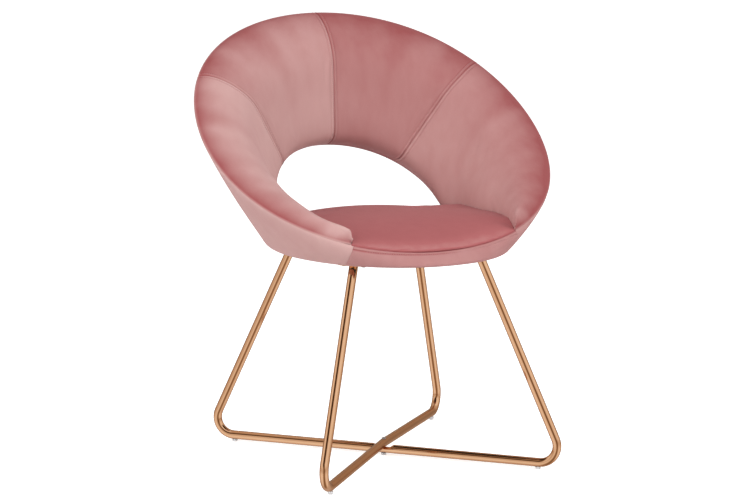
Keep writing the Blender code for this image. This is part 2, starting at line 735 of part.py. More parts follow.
def closed_pad(name, grid, turns):
    """Solid whose rows run from a middle point below to a middle point above."""
    count, rows = grid.shape[:2]
    points = grid.reshape(-1, 3)
    faces = []
    for i in range(count):
        k = (i + 1) % count
        for j in range(rows - 1):
            quad = [i * rows + j, k * rows + j, k * rows + j + 1, i * rows + j + 1]
            if i in turns:
                quad = quad[1:] + quad[:1]
            faces.append(quad[:3])
            faces.append([quad[0], quad[2], quad[3]])
    return mesh_of(points, faces, name)


add_part("seat_foam", closed_pad("seat_foam", foam_rows, range(len(half) - 1, len(foam_rows))), "foam")


# Leg frames, bent from one tube each
def rounded_path(corners, radii, steps):
    """Polyline through corners with each inner corner rounded to its radius."""
    path = [corners[0]]
    for before, here, after, radius in zip(corners[:-2], corners[1:-1], corners[2:], radii):
        a = unit(before - here)
        b = unit(after - here)
        turn = math.acos(float(np.clip(a @ b, -1.0, 1.0)))
        back = radius / math.tan(turn / 2)
        centre = here + unit(a + b) * (radius / math.sin(turn / 2))
        start, end = here + a * back - centre, here + b * back - centre
        sweep = math.pi - turn
        for t in np.linspace(0.0, 1.0, steps + 1):
            mix = start * math.sin((1 - t) * sweep) + end * math.sin(t * sweep)
            path.append(centre + mix / math.sin(sweep))
    path.append(corners[-1])
    return np.array(path)


LOW_CENTRE = GLIDE_HEIGHT + GAP + TUBE / 2
HIGH_CENTRE = LOW_CENTRE + TUBE - CROSS_DENT + GAP
LEG_RUN = FOOT_REACH - LEG_TOP_REACH
LEG_TOP = Z_PLATE - GAP
LEG_RISE = LEG_TOP - LOW_CENTRE
LEG_OVER = 1.0 + TUBE / LEG_RISE
APEX_RADIUS = 0.060


def leg_frame(name, along, apex, dent):
    """One tube: leg, foot bend, floor run over the crossing, foot bend, leg."""
    def place(t, z):
        return np.array([along[0] * t, along[1] * t, z])

    top_reach = FOOT_REACH - LEG_RUN * LEG_OVER
    top_height = LOW_CENTRE + LEG_RISE * LEG_OVER
    corners = [place(-top_reach, top_height), place(-FOOT_REACH, LOW_CENTRE)]
    radii = [BEND_RADIUS]
    if apex > LOW_CENTRE:
        corners.append(place(0.0, apex))
        radii.append(APEX_RADIUS * 4)
    corners += [place(FOOT_REACH, LOW_CENTRE), place(top_reach, top_height)]
    radii.append(BEND_RADIUS)
    path = rounded_path(corners, radii, 9)
    if dent:
        middle = len(path) // 2
        extra = [place(t, LOW_CENTRE) for t in np.linspace(-DENT_LENGTH, DENT_LENGTH, 9)]
        path = np.concatenate([path[:middle], extra, path[middle:]])
    curve = bpy.data.curves.new(name, "CURVE")
    curve.dimensions = "3D"
    spline = curve.splines.new("POLY")
    spline.points.add(len(path) - 1)
    spline.points.foreach_set("co", np.column_stack([path, np.ones(len(path))]).ravel())
    curve.bevel_depth = TUBE / 2
    curve.bevel_resolution = 4
    holder = bpy.data.objects.new(name + "_path", curve)
    cutters.objects.link(holder)
    bpy.context.view_layer.update()
    ready = holder.evaluated_get(bpy.context.evaluated_depsgraph_get())
    mesh = bpy.data.meshes.new_from_object(ready)
    bpy.data.objects.remove(holder, do_unlink=True)
    bm = bmesh.new()
    bm.from_mesh(mesh)
    bmesh.ops.remove_doubles(bm, verts=bm.verts[:], dist=1e-6)
    if dent:
        for v in bm.verts:
            t = v.co.x * along[0] + v.co.y * along[1]
            above = max(v.co.z - LOW_CENTRE, 0.0) / (TUBE / 2)
            v.co.z -= CROSS_DENT * above * float(smooth(DENT_LENGTH - abs(t), 0.0, DENT_LENGTH / 2))
    bmesh.ops.recalc_face_normals(bm, faces=bm.faces[:])
    bm.to_mesh(mesh)
    bm.free()
    tube = add_part(name, mesh, "tube")
    wall = tube.modifiers.new("wall", "SOLIDIFY")
    wall.thickness = TUBE_WALL
    wall.offset = -1.0
    wall.use_even_offset = True
    return tube


HALF = math.sqrt(0.5)
LOW_ALONG = (HALF, -HALF)
HIGH_ALONG = (HALF, HALF)
frame_low = leg_frame("leg_frame_lower", LOW_ALONG, LOW_CENTRE, True)
frame_high = leg_frame("leg_frame_upper", HIGH_ALONG, HIGH_CENTRE, False)

# Glides: buttons with a stem in the tube, and one that covers the end of the crossing bolt
leg_slope = math.atan2(LEG_RISE, LEG_RUN)
BEND_BACK = BEND_RADIUS / math.tan(leg_slope / 2)
GLIDE_REACH = FOOT_REACH - BEND_BACK - GLIDE_RADIUS / 2
high_rise = (HIGH_CENTRE - LOW_CENTRE) / FOOT_REACH


def glide_profile(height, stem):
    """Button with a rounded foot and a stem."""
    foot = GLIDE_RADIUS * 0.8
    return [(0.0, 0.0), (foot, 0.0), (GLIDE_RADIUS, height * 0.35), (GLIDE_RADIUS, height),
            (GLIDE_STEM, height), (GLIDE_STEM, height + stem), (0.0, height + stem)]


stem_hole = turned("stem_hole", [(0.0, 0.0), (GLIDE_STEM + FIT, 0.0),
                                 (GLIDE_STEM + FIT, LOW_CENTRE), (0.0, LOW_CENTRE)])
bolt_hole = turned("bolt_hole", [(0.0, 0.0), (CROSS_BOLT_RADIUS + FIT, 0.0),
                                 (CROSS_BOLT_RADIUS + FIT, 2 * HIGH_CENTRE), (0.0, 2 * HIGH_CENTRE)])
STEM = TUBE_WALL * 2
bm = bmesh.new()
bmesh.ops.create_cube(bm, size=1.0)
top_cut = finish_mesh(bm, "top_cut")
for frame, along, slope, names in (
        (frame_low, LOW_ALONG, 0.0, ("glide_front_right", "glide_back_left")),
        (frame_high, HIGH_ALONG, high_rise, ("glide_back_right", "glide_front_left"))):
    holes = [(bolt_hole, (0.0, 0.0, 0.0)), (top_cut, (0.0, 0.0, LEG_TOP + 0.5))]
    for name, way in zip(names, (1.0, -1.0)):
        under = GLIDE_HEIGHT + slope * (FOOT_REACH - GLIDE_REACH - GLIDE_RADIUS)
        glide = add_part(name, turned(name, glide_profile(under, STEM)), "clear")
        glide.location = (along[0] * GLIDE_REACH * way, along[1] * GLIDE_REACH * way, 0.0)
        holes.append((stem_hole, tuple(glide.location)))
    cut(frame, add_cutter(frame.name + "_holes", holes))

BOLT_END = GLIDE_HEIGHT / 2
pocket = CROSS_BOLT_RADIUS + FIT
centre_profile = [(0.0, 0.0), (GLIDE_RADIUS * 0.8, 0.0), (GLIDE_RADIUS, GLIDE_HEIGHT * 0.35),
                  (GLIDE_RADIUS, GLIDE_HEIGHT), (pocket, GLIDE_HEIGHT), (pocket, BOLT_END - GAP),
                  (0.0, BOLT_END - GAP)]
add_part("glide_centre", turned("glide_centre", centre_profile), "clear")
head = HIGH_CENTRE + TUBE / 2 + GAP
cross_profile = [(0.0, head + CROSS_HEAD), (CROSS_HEAD_RADIUS * 0.6, head + CROSS_HEAD * 0.85),
                 (CROSS_HEAD_RADIUS, head + CROSS_HEAD * 0.3), (CROSS_HEAD_RADIUS, head),
                 (CROSS_BOLT_RADIUS, head), (CROSS_BOLT_RADIUS, BOLT_END), (0.0, BOLT_END)]
add_part("cross_bolt", turned("cross_bolt", cross_profile), "steel")

# Leg plates with their bolts and nuts
leg_places = {
    "front_right": (1.0, -1.0),
    "back_left": (-1.0, 1.0),
    "back_right": (1.0, 1.0),
    "front_left": (-1.0, -1.0),
}
bolt_places = {}
bolt_clear = turned("bolt_clear", [(0.0, 0.0), (BOLT_RADIUS + FIT, 0.0),
                                   (BOLT_RADIUS + FIT, BASE_HEIGHT), (0.0, BASE_HEIGHT)])
for corner, (sx, sy) in leg_places.items():
    out = np.array([sx * HALF, sy * HALF])
    across = np.array([-out[1], out[0]])
    middle = out * LEG_TOP_REACH
    bm = bmesh.new()
    bmesh.ops.create_cube(bm, size=1.0)
    bmesh.ops.scale(bm, vec=(PLATE_LENGTH, PLATE_WIDTH, PLATE), verts=bm.verts[:])
    upright = [e for e in bm.edges if abs(e.verts[0].co.z - e.verts[1].co.z) > PLATE / 2]
    bmesh.ops.bevel(bm, geom=upright, offset=PLATE_CORNER, segments=3, affect="EDGES", profile=0.5)
    plate = add_part("leg_plate_" + corner, finish_mesh(bm, "leg_plate_" + corner), "steel")
    plate.location = (middle[0], middle[1], Z_PLATE + PLATE / 2)
    plate.rotation_euler = (0.0, 0.0, math.atan2(across[1], across[0]))
    holes = []
    for number, way in enumerate((-1.0, 1.0), start=1):
        spot = middle + across * way * BOLT_PITCH / 2
        bolt_places[corner + "_" + str(number)] = spot
        holes.append((bolt_clear, (spot[0], spot[1], BASE_HEIGHT / 2)))
    cut(plate, add_cutter(plate.name + "_holes", holes))

bolt_top = Z_BOARD_TOP - GAP
bolt_profile = [(0.0, bolt_top), (BOLT_RADIUS, bolt_top), (BOLT_RADIUS, Z_PLATE - GAP),
                (BOLT_HEAD_RADIUS, Z_PLATE - GAP), (BOLT_HEAD_RADIUS, Z_PLATE - GAP - BOLT_HEAD * 0.6),
                (BOLT_HEAD_RADIUS * 0.7, Z_PLATE - GAP - BOLT_HEAD), (0.0, Z_PLATE - GAP - BOLT_HEAD)]
flange = Z_BOARD_TOP - NUT_FLANGE
nut_bore = BOLT_RADIUS + FIT
nut_end = Z_BOARD + BOARD / 4
nut_profile = [(nut_bore, Z_BOARD_TOP), (NUT_FLANGE_RADIUS, Z_BOARD_TOP),
               (NUT_FLANGE_RADIUS, flange), (NUT_BARREL, flange),
               (NUT_BARREL, nut_end), (nut_bore, nut_end)]
for label, spot in bolt_places.items():
    bolt = add_part("leg_bolt_" + label, turned("leg_bolt_" + label, bolt_profile), "steel")
    bolt.location = (spot[0], spot[1], 0.0)
    nut = add_part("t_nut_" + label, turned("t_nut_" + label, nut_profile, closed=True), "steel")
    nut.location = (spot[0], spot[1], 0.0)


# Shell screws through the foot into the board
def screw_profile(clearance):
    """Countersunk screw, or the hole for it."""
    head = SCREW_HEAD_RADIUS + clearance
    shank = SCREW_RADIUS + clearance
    top = Z_FOOT_TOP + (CORE if clearance else 0.0)
    tip = Z_BOARD_TOP - SCREW_DEPTH - clearance
    neck = Z_FOOT_TOP - (SCREW_HEAD_RADIUS - SCREW_RADIUS) - clearance
    rise = [(0.0, top), (head, top)] + ([(head, Z_FOOT_TOP)] if clearance else [])
    return rise + [(shank, neck), (shank, tip), (0.0, tip)]


screw_spots = []
for degrees in SCREW_DEGS:
    theta = math.radians(degrees)
    level = side_frame(np.array([theta]))[3][0][:2]
    spot = foot_end(theta) - level * (SCREW_HEAD_RADIUS * 2)
    screw_spots += [spot, spot * np.array([-1.0, 1.0])]
screw_hole = turned("screw_hole", screw_profile(FIT))
screw_holes = [(screw_hole, (p[0], p[1], 0.0)) for p in screw_spots]
for number, spot in enumerate(screw_spots, start=1):
    label = "shell_screw_" + str(number)
    screw = add_part(label, turned(label, screw_profile(0.0)), "steel")
    screw.location = (spot[0], spot[1], 0.0)
cut(shell_core, add_cutter("shell_screw_holes", screw_holes))

# Seat board with its stepped bolt holes, and the dust sheet inside the folded covers
outline = np.linspace(0.0, 2 * math.pi, 40, endpoint=False)


def oval_slab(name, half_width, half_depth, low, high):
    """Flat oval sheet between two levels."""
    bm = bmesh.new()
    points = [bm.verts.new((half_width * math.sin(t), -half_depth * math.cos(t), low)) for t in outline]
    face = bm.faces.new(points)
    solid = bmesh.ops.extrude_face_region(bm, geom=[face])
    moved = [g for g in solid["geom"] if isinstance(g, bmesh.types.BMVert)]
    bmesh.ops.translate(bm, verts=moved, vec=(0.0, 0.0, high - low))
    return finish_mesh(bm, name)


board = add_part("seat_board", oval_slab("seat_board", BASE_HALF_WIDTH - BOARD_INSET,
                                         BASE_HALF_DEPTH - BOARD_INSET, Z_BOARD, Z_BOARD_TOP), "plywood")
step_profile = [(0.0, Z_BOARD_TOP + BOARD), (NUT_FLANGE_RADIUS + FIT, Z_BOARD_TOP + BOARD),
                (NUT_FLANGE_RADIUS + FIT, flange - GAP), (NUT_BARREL + FIT, flange - GAP),
                (NUT_BARREL + FIT, Z_BOARD - BOARD), (0.0, Z_BOARD - BOARD)]
step_hole = turned("step_hole", step_profile)
board_holes = [(step_hole, (p[0], p[1], 0.0)) for p in bolt_places.values()]
cut(board, add_cutter("board_holes", board_holes + screw_holes))

dust_mesh = oval_slab("dust_sheet", BASE_HALF_WIDTH - BOARD_INSET,
                      BASE_HALF_DEPTH - BOARD_INSET, Z_DUST, Z_DUST + DUST_SHEET)
dust = add_part("dust_sheet", dust_mesh, "cloth")
dust_holes = [(bolt_clear, (p[0], p[1], BASE_HEIGHT / 2)) for p in bolt_places.values()]
cut(dust, add_cutter("dust_holes", dust_holes))
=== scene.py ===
# %% [markdown]
# # A round velvet chair with an open back
# The chair is a padded bowl sewn from a few velvet panels, on two copper-coloured tubes that cross on
# the floor. A hole in the back leaves a ring of padding round the sitter. The frame that is loaded first
# holds the solids of the same chair, so every surface below is worked out in that frame, in metres.

# %% Load the frame
import math

import bpy
import numpy as np
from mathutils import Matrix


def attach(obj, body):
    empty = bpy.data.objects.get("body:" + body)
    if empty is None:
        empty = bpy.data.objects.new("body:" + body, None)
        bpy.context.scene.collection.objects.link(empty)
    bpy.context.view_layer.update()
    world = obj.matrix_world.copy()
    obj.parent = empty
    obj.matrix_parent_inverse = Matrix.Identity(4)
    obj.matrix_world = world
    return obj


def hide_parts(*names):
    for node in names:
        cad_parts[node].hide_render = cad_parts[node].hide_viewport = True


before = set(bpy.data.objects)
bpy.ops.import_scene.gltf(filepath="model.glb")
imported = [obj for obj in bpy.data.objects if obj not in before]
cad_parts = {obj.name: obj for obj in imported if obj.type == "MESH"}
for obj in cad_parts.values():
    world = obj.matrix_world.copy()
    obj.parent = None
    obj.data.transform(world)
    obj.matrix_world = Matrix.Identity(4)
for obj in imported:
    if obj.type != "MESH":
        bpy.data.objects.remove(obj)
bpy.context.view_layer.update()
scene = bpy.context.scene

# %% [markdown]
# ## The camera
# The photograph was taken from the front left, a little above the seat, with a long lens: the far legs
# are hardly smaller than the near ones. The four feet and the crossing gave the viewing direction. A
# camera could be turned with Euler angles, but three vectors - right, up and back - say the same thing
# with nothing to remember about their order, and a small roll is then a turn of the first two.

# %% Camera
IMAGE_WIDTH = 750
SENSOR = 36.0  # millimetres
FOCAL_PIXELS = 2673.6
VIEW_AZIMUTH, VIEW_ELEVATION, VIEW_ROLL = np.radians([-26.544, 10.029, 0.504])
VIEW_DISTANCE = 4.8084
VIEW_TARGET = np.array([-0.0213, 0.0, 0.3813])
TOWARDS = (math.sin(VIEW_AZIMUTH), -math.cos(VIEW_AZIMUTH), 0.0)  # level ways to the camera and to its right
RIGHT = (math.cos(VIEW_AZIMUTH), math.sin(VIEW_AZIMUTH), 0.0)


def add_placed(name, data, axes, place):
    """Object with its three axes and its place given in the world."""
    thing = bpy.data.objects.new(name, data)
    scene.collection.objects.link(thing)
    matrix = np.eye(4)
    matrix[:3, :3] = np.transpose(axes)
    matrix[:3, 3] = place
    thing.matrix_world = matrix.T.tolist()
    return thing


def add_camera():
    """Camera from three axes: back points at the camera, right is level, up completes them, then the roll."""
    back = math.cos(VIEW_ELEVATION) * np.array(TOWARDS) + np.array([0.0, 0.0, math.sin(VIEW_ELEVATION)])
    up = np.cross(back, RIGHT)
    cos, sin = math.cos(VIEW_ROLL), math.sin(VIEW_ROLL)
    right, up = np.array([[cos, sin], [-sin, cos]]) @ np.array([RIGHT, up])
    data = bpy.data.cameras.new("camera")
    data.sensor_width = SENSOR
    data.sensor_fit = "HORIZONTAL"
    data.lens = FOCAL_PIXELS * SENSOR / IMAGE_WIDTH
    scene.camera = add_placed("camera", data, (right, up, back), VIEW_TARGET + back * VIEW_DISTANCE)


add_camera()
print("lens in mm:", round(scene.camera.data.lens, 1))

# %% [markdown]
# ## Short ways to make shader nodes
# A shader is a graph, and written out link by link it is long. These helpers take numbers, colours or the
# outputs of other nodes for each input, so that a formula reads from the inside out, as in plain Python.

# %% Node helpers
def feed(tree, node, inputs):
    """Give a node's inputs, by label or by order, a value or a link from another node's output."""
    for label, value in inputs.items() if isinstance(inputs, dict) else enumerate(inputs):
        if isinstance(value, bpy.types.NodeSocket):
            tree.links.new(value, node.inputs[label])
        else:
            node.inputs[label].default_value = value


def add_node(tree, kind, inputs=(), **settings):
    """Shader node with its settings and inputs."""
    node = tree.nodes.new("ShaderNode" + kind)
    for label, value in settings.items():
        setattr(node, label, value)
    feed(tree, node, inputs)
    return node


def math_node(tree, operation, *values):
    """Result of a sum, product or the like."""
    return add_node(tree, "Math", values, operation=operation).outputs["Value"]


def map_range(tree, value, limits, first, second, kind="SMOOTHSTEP"):
    """Value between two values, by a step from the lower limit to the upper one."""
    ends = {"From Min": limits[0], "From Max": limits[1], "To Min": first, "To Max": second}
    return add_node(tree, "MapRange", {"Value": value, **ends}, interpolation_type=kind).outputs["Result"]


def dot_node(tree, vector, fixed):
    """Part of a vector along a fixed direction."""
    return add_node(tree, "VectorMath", (vector, fixed), operation="DOT_PRODUCT").outputs["Value"]


def ramp_node(tree, value, stops):
    """Colour ramp through stops of a position and a colour."""
    node = add_node(tree, "ValToRGB", {"Fac": value})
    for position, _ in stops[1:-1]:
        node.color_ramp.elements.new(position)
    for stop, (position, colour) in zip(node.color_ramp.elements, stops):
        stop.position = position
        stop.color = (*colour, 1.0)
    return node.outputs["Color"]


def mix_node(tree, factor, first, second):
    """Colour between two colours."""
    a, b = ((*c, 1.0) if isinstance(c, tuple) else c for c in (first, second))
    return add_node(tree, "Mix", {"Factor": factor, "A": a, "B": b}, data_type="RGBA").outputs["Result"]


def object_place(tree):
    """Object coordinates."""
    return add_node(tree, "TexCoord").outputs["Object"]


def stretched(tree, scale):
    """Object coordinates, scaled on each axis."""
    return add_node(tree, "Mapping", {"Vector": object_place(tree), "Scale": scale}).outputs["Vector"]


def noise(tree, scale, detail, vector):
    """Noise texture on a vector."""
    return add_node(tree, "TexNoise", {"Scale": scale, "Detail": detail, "Vector": vector}).outputs["Fac"]


def new_material(name, **settings):
    """Material with its tree and its Principled shader, whose plain settings are given with underscores."""
    mat = bpy.data.materials.new(name)
    mat.use_nodes = True
    shader = mat.node_tree.nodes["Principled BSDF"]
    feed(mat.node_tree, shader, {label.replace("_", " "): value for label, value in settings.items()})
    return mat, mat.node_tree, shader


def add_bump(tree, shader, height, distance, strength):
    """Bump between a height and the shader's normal."""
    bump = add_node(tree, "Bump", {"Strength": strength, "Distance": distance, "Height": height})
    feed(tree, shader, {"Normal": bump.outputs["Normal"]})


print("node helpers are ready")

# %% [markdown]
# ## Studio light and floor
# The picture is a catalogue shot: white all round, no hard shadow. Velvet only shows its nap when light
# skims over it, so one large soft light stands to the right and one to the left. Polished tube shows
# nothing but its surroundings, so reflections get a room of their own: pale walls to the left and the
# right, a dimmer one behind the chair and a dark gap towards the camera, which is the dark stripe along each
# leg. The lights and the floor are left out of reflections. Rays straight from the camera meet plain white.

# %% Lights, world and floor
FLOOR_SIZE = 30.0
FLOOR_GLOW = 0.55  # added where the camera sees the paper, so that it stays white
FLOOR_PALE, FLOOR_DARK = 0.93, 0.05
FLOOR_ENDS = 0.85, 0.95  # where the pale floor ends towards the camera
ROOM_STOPS = tuple((at, (grey,) * 3) for at, grey in ((0.10, 0.40), (0.45, 0.64), (0.925, 0.64), (0.965, 0.02)))
ROOM_TILT = 0.10  # how far the dark end of the room is raised
GAP_BLACK, GAP_GREY = 0.0, 0.30  # the gap in the reflected room, high up and lower down
GAP_DARKENS, GAP_FADES = (0.15, 0.45), (0.62, 0.80)  # heights over which it turns black and comes to its end
GAP_WIDTHS = 0.09, 0.62  # half widths of its core and of its soft edge
GAP_FOOT, GAP_BEND, GAP_SHIFT = 0.05, 0.90, 0.07  # where it starts to lean left, how far, and where it stands
WALL_PALE, WALL_BACK, WALL_FAR = 1.0, 0.65, 0.36
BACK_TURN, FRONT_TURN = (-0.95, -0.40), (-0.30, 0.05)  # over which the back wall and then the front take over
HORIZON_DIM, HORIZON_WIDTH = 0.72, 0.35  # brightness left at eye level, and the height at which it is whole
ROOM_TINTS = ((0.0, (0.02, 0.012, 0.008)), (0.45, (0.50, 0.40, 0.31)), (1.0, (1.20, 1.38, 1.66)))
CHAIR_MIDDLE = np.array([0.0, 0.0, 0.45])
SOFT_BOXES = (
    # name, place, size, watts
    ("key_light", (2.2, -2.8, 1.9), (3.4, 2.8), 83.0),
    ("fill_light", (-3.1, -1.9, 1.5), (3.2, 2.8), 108.0),
    ("top_light", (0.0, 0.6, 3.8), (3.0, 2.4), 10.0),
)


def add_soft_box(name, place, size, watts):
    """Area light that faces the middle of the chair and isn't seen in reflections."""
    data = bpy.data.lights.new(name, "AREA")
    data.shape = "RECTANGLE"
    data.size, data.size_y = size
    data.energy = watts
    away = np.array(place) - CHAIR_MIDDLE
    away /= np.linalg.norm(away)
    side = np.cross([0.0, 0.0, 1.0], away) + np.array([1e-6, 0.0, 0.0])
    side /= np.linalg.norm(side)
    add_placed(name, data, (side, np.cross(away, side), away), place).visible_glossy = False


def reflected_room(tree, direction):
    """Colour by direction: the distance from a bent upright gap on the camera's side, and a dimmer back."""
    ahead, across, up = (dot_node(tree, direction, axis) for axis in (TOWARDS, RIGHT, (0.0, 0.0, 1.0)))
    over = math_node(tree, "MAXIMUM", math_node(tree, "SUBTRACT", up, GAP_FOOT), 0.0)
    bent = math_node(tree, "MULTIPLY_ADD", over, GAP_BEND, across)
    off = math_node(tree, "ABSOLUTE", math_node(tree, "SUBTRACT", bent, GAP_SHIFT))
    dark = map_range(tree, up, GAP_DARKENS, GAP_GREY, GAP_BLACK)
    dark = map_range(tree, up, GAP_FADES, dark, WALL_FAR)
    front = map_range(tree, off, GAP_WIDTHS, dark, WALL_PALE)
    back = map_range(tree, ahead, BACK_TURN, WALL_FAR, WALL_BACK)
    room = map_range(tree, ahead, FRONT_TURN, back, front)
    level = map_range(tree, math_node(tree, "ABSOLUTE", up), (0.0, HORIZON_WIDTH), HORIZON_DIM, 1.0)
    return ramp_node(tree, math_node(tree, "MULTIPLY", room, level), ROOM_TINTS)


def add_world():
    """World that dims towards the camera's side of the room, with another room for reflections."""
    world = bpy.data.worlds.new("studio")
    world.use_nodes = True
    tree = world.node_tree
    tree.nodes.clear()
    direction = add_node(tree, "TexCoord").outputs["Generated"]
    towards = dot_node(tree, direction, (*TOWARDS[:2], ROOM_TILT))
    room = ramp_node(tree, math_node(tree, "MULTIPLY_ADD", towards, 0.5, 0.5), ROOM_STOPS)
    colours = room, reflected_room(tree, direction), (1.0, 1.0, 1.0, 1.0)
    room, mirror, white = (add_node(tree, "Background", {"Color": c}).outputs["Background"] for c in colours)
    ray = add_node(tree, "LightPath").outputs
    inside = add_node(tree, "MixShader", (ray["Is Glossy Ray"], room, mirror)).outputs["Shader"]
    seen = add_node(tree, "MixShader", (ray["Is Camera Ray"], inside, white)).outputs["Shader"]
    add_node(tree, "OutputWorld", {"Surface": seen})
    scene.world = world


def add_floor():
    """Square floor, pale and matt; the light that it throws back ends at a line in front of the chair."""
    half = FLOOR_SIZE / 2
    mesh = bpy.data.meshes.new("floor")
    corners = [(-half, -half, 0.0), (half, -half, 0.0), (half, half, 0.0), (-half, half, 0.0)]
    mesh.from_pydata(corners, [], [(0, 1, 2, 3)])
    floor = bpy.data.objects.new("floor", mesh)
    scene.collection.objects.link(floor)
    paint, tree, shader = new_material("floor_paper", Roughness=0.9, Specular_IOR_Level=0.1,
                                       Emission_Strength=FLOOR_GLOW)
    ahead = dot_node(tree, object_place(tree), TOWARDS)
    shade = map_range(tree, ahead, FLOOR_ENDS, FLOOR_PALE, FLOOR_DARK, "LINEAR")
    seen = add_node(tree, "LightPath").outputs["Is Camera Ray"]
    feed(tree, shader, {"Base Color": math_node(tree, "MAXIMUM", shade, seen), "Emission Color": seen})
    mesh.materials.append(paint)
    floor.visible_glossy = False


scene.view_settings.view_transform = "Standard"
for box in SOFT_BOXES:
    add_soft_box(*box)
add_world()
add_floor()
print("soft boxes:", len(SOFT_BOXES))

# %% [markdown]
# ## The curves of the bowl
# Everything in the bowl hangs on two curves: the tilted rim and the oval round the underside. An angle
# goes round the vertical axis, 0 at the front and pi at the back, and straight lines run down from rim to
# oval. A point of the shell is then "so far round, so far down, so deep inside the outer face". Because
# each function takes whole arrays of angles, one call gives a whole surface.

# %% Rim, underside and shell
RIM_HALF_WIDTH, RIM_FULLNESS, RIM_HALF_DEPTH = 0.334, 0.005, 0.260
RIM_SETBACK, RIM_SLOPE, RIM_DISH = 0.050, 0.712, 0.013
FRONT_HEIGHT, BASE_HEIGHT = 0.025, 0.387
BASE_HALF_WIDTH, BASE_HALF_DEPTH, SHELL_BULGE = 0.210, 0.233, 0.009
FRONT_SEAM, SIDE_SEAM = np.radians([27.4, 121.6])
COVER = 0.002  # velvet with its backing
CORE, CORE_EDGE = 0.008, 0.008  # moulded shell, and the padding that wraps its edge
CORE_OUT = 0.0023  # outer face of the moulded shell
Z_FLOOR = 0.4079  # where the padding stands on the shell's foot
Z_BAND = 0.4102  # lower edge of the hole
HOLE_BACK, HOLE_TURN, HOLE_SQUARE = 0.249, 0.114, 0.235  # rim to hole at the back, and what the front adds


def rim(theta):
    """Rim: a sine wide and a cosine deep, squared a little by a third harmonic, rising towards the back."""
    deep = RIM_HALF_DEPTH * (1 - np.cos(theta))
    x = (RIM_HALF_WIDTH + RIM_FULLNESS) * np.sin(theta) + RIM_FULLNESS * np.sin(3 * theta)
    z = BASE_HEIGHT + FRONT_HEIGHT + RIM_SLOPE * deep - RIM_DISH * np.sin(theta) ** 2
    return np.stack([x, RIM_SETBACK - RIM_HALF_DEPTH + deep, z], -1)


def underside(theta, front_depth=BASE_HALF_DEPTH):
    """Oval at the height of the underside, with its own depth in front of the crossing."""
    depth = np.where(np.cos(theta) > 0, front_depth, BASE_HALF_DEPTH)
    return np.stack([BASE_HALF_WIDTH * np.sin(theta), -depth * np.cos(theta), BASE_HEIGHT + 0 * theta], -1)


def unit(v):
    """Vectors divided by their lengths."""
    return v / np.linalg.norm(v, axis=-1, keepdims=True)


def smooth(value, low, high):
    """Three t squared minus two t cubed: a step from 0 at low to 1 at high with level ends."""
    t = np.clip((value - low) / (high - low), 0.0, 1.0)
    return t * t * (3.0 - 2.0 * t)


def side_frame(theta, front_depth=BASE_HALF_DEPTH):
    """Rim point, unit vector down to the oval, and the normal that points into the bowl."""
    step = 1e-3
    top = rim(theta)
    down = unit(underside(theta, front_depth) - top)
    ahead = rim(theta + step) - rim(theta - step) + underside(theta + step, front_depth)
    ahead = ahead - underside(theta - step, front_depth)
    return top, down, unit(np.cross(ahead, down))


def shell(theta, along, depth):
    """Rim plus a distance along the fall line, bellied outward by a parabola, plus a depth along the normal."""
    theta, along, depth = np.broadcast_arrays(theta, along, depth)
    top, down, inward = side_frame(theta)
    length = np.linalg.norm(underside(theta) - top, axis=-1)
    share = np.clip(along / length, 0.0, 1.0)
    belly = SHELL_BULGE * np.minimum(1.0, length / RIM_HALF_DEPTH) * 4 * share * (1 - share)
    return top + down * along[..., None] + inward * (depth - belly)[..., None]


def fall_to(theta, height, depth):
    """Distance down the shell at which it reaches a height, by a dozen straight-line corrections."""
    along = np.zeros_like(theta)
    slope = -side_frame(theta)[1][..., 2]
    for _ in range(12):
        along = along + (shell(theta, along, depth)[..., 2] - height) / slope
    return along


def hole_distance(theta):
    """Rim to hole, measured down the shell: shortest at the back, plus two powers of the way to the front."""
    front = (1 + np.cos(theta)) / 2
    return HOLE_BACK + HOLE_TURN * front + HOLE_SQUARE * front ** 2


around = np.linspace(math.pi / 2, math.pi, 4001)
HOLE_CORNER = float(around[np.argmax(hole_distance(around) < fall_to(around, Z_BAND, 0.0))])
print("the hole's corner is at", round(math.degrees(HOLE_CORNER), 1), "degrees")

# %% [markdown]
# ## From arrays to meshes
# A grid of points becomes a mesh when neighbouring rows and columns share quads. One helper makes all
# lofts here: rows may close round into a loop, and the two ends may be capped. The sign of the enclosed
# volume tells whether the faces point outward, which is quicker than asking Blender to recalculate them.

# %% Loft helpers
PRESSURE, PUFF_FRAMES, CLOTH_STEPS = 4.0, 20, 5  # of the cloth simulation
# how far the front of the padding and of the covers is pulled round, on the left and on the right
PAD_DRAWN, COVER_DRAWN = np.radians([[0.1, 1.7], [1.4, 1.4]])


def quads(ids, wrap=False):
    """Quads between neighbouring entries of a grid of vertex numbers, as an n by 4 array."""
    if wrap:
        ids = np.concatenate([ids, ids[:, :1]], axis=1)
    return np.stack([ids[:-1, :-1], ids[1:, :-1], ids[1:, 1:], ids[:-1, 1:]], -1).reshape(-1, 4)


def volume(points, faces):
    """Six times the enclosed volume: the sum of the triple products of the faces' fans."""
    a, b, c, d = (points[faces[:, k]] for k in range(4))
    return np.sum(np.cross(a, b) * c) + np.sum(np.cross(a, c) * d)


def add_piece(name, points, faces, nap_and_painted_light=None):
    """Link a smooth-shaded mesh that rides on the chair, with a brightness for each point of the velvet: its
    tone, painted shade and painted highlights.
    """
    mesh = bpy.data.meshes.new(name)
    mesh.from_pydata(points.tolist(), [], faces)
    if nap_and_painted_light is not None:
        mesh.attributes.new("nap_and_painted_light", "FLOAT", "POINT").data.foreach_set("value", np.ravel(nap_and_painted_light).astype(np.float32))
    mesh.shade_smooth()
    piece = bpy.data.objects.new(name, mesh)
    scene.collection.objects.link(piece)
    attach(piece, "root")
    return piece


def add_used(name, points, faces, nap_and_painted_light):
    """Piece from those points only that its faces use."""
    used, numbers = np.unique(faces, return_inverse=True)
    return add_piece(name, points[used], numbers.reshape(faces.shape).tolist(), nap_and_painted_light[used]), used


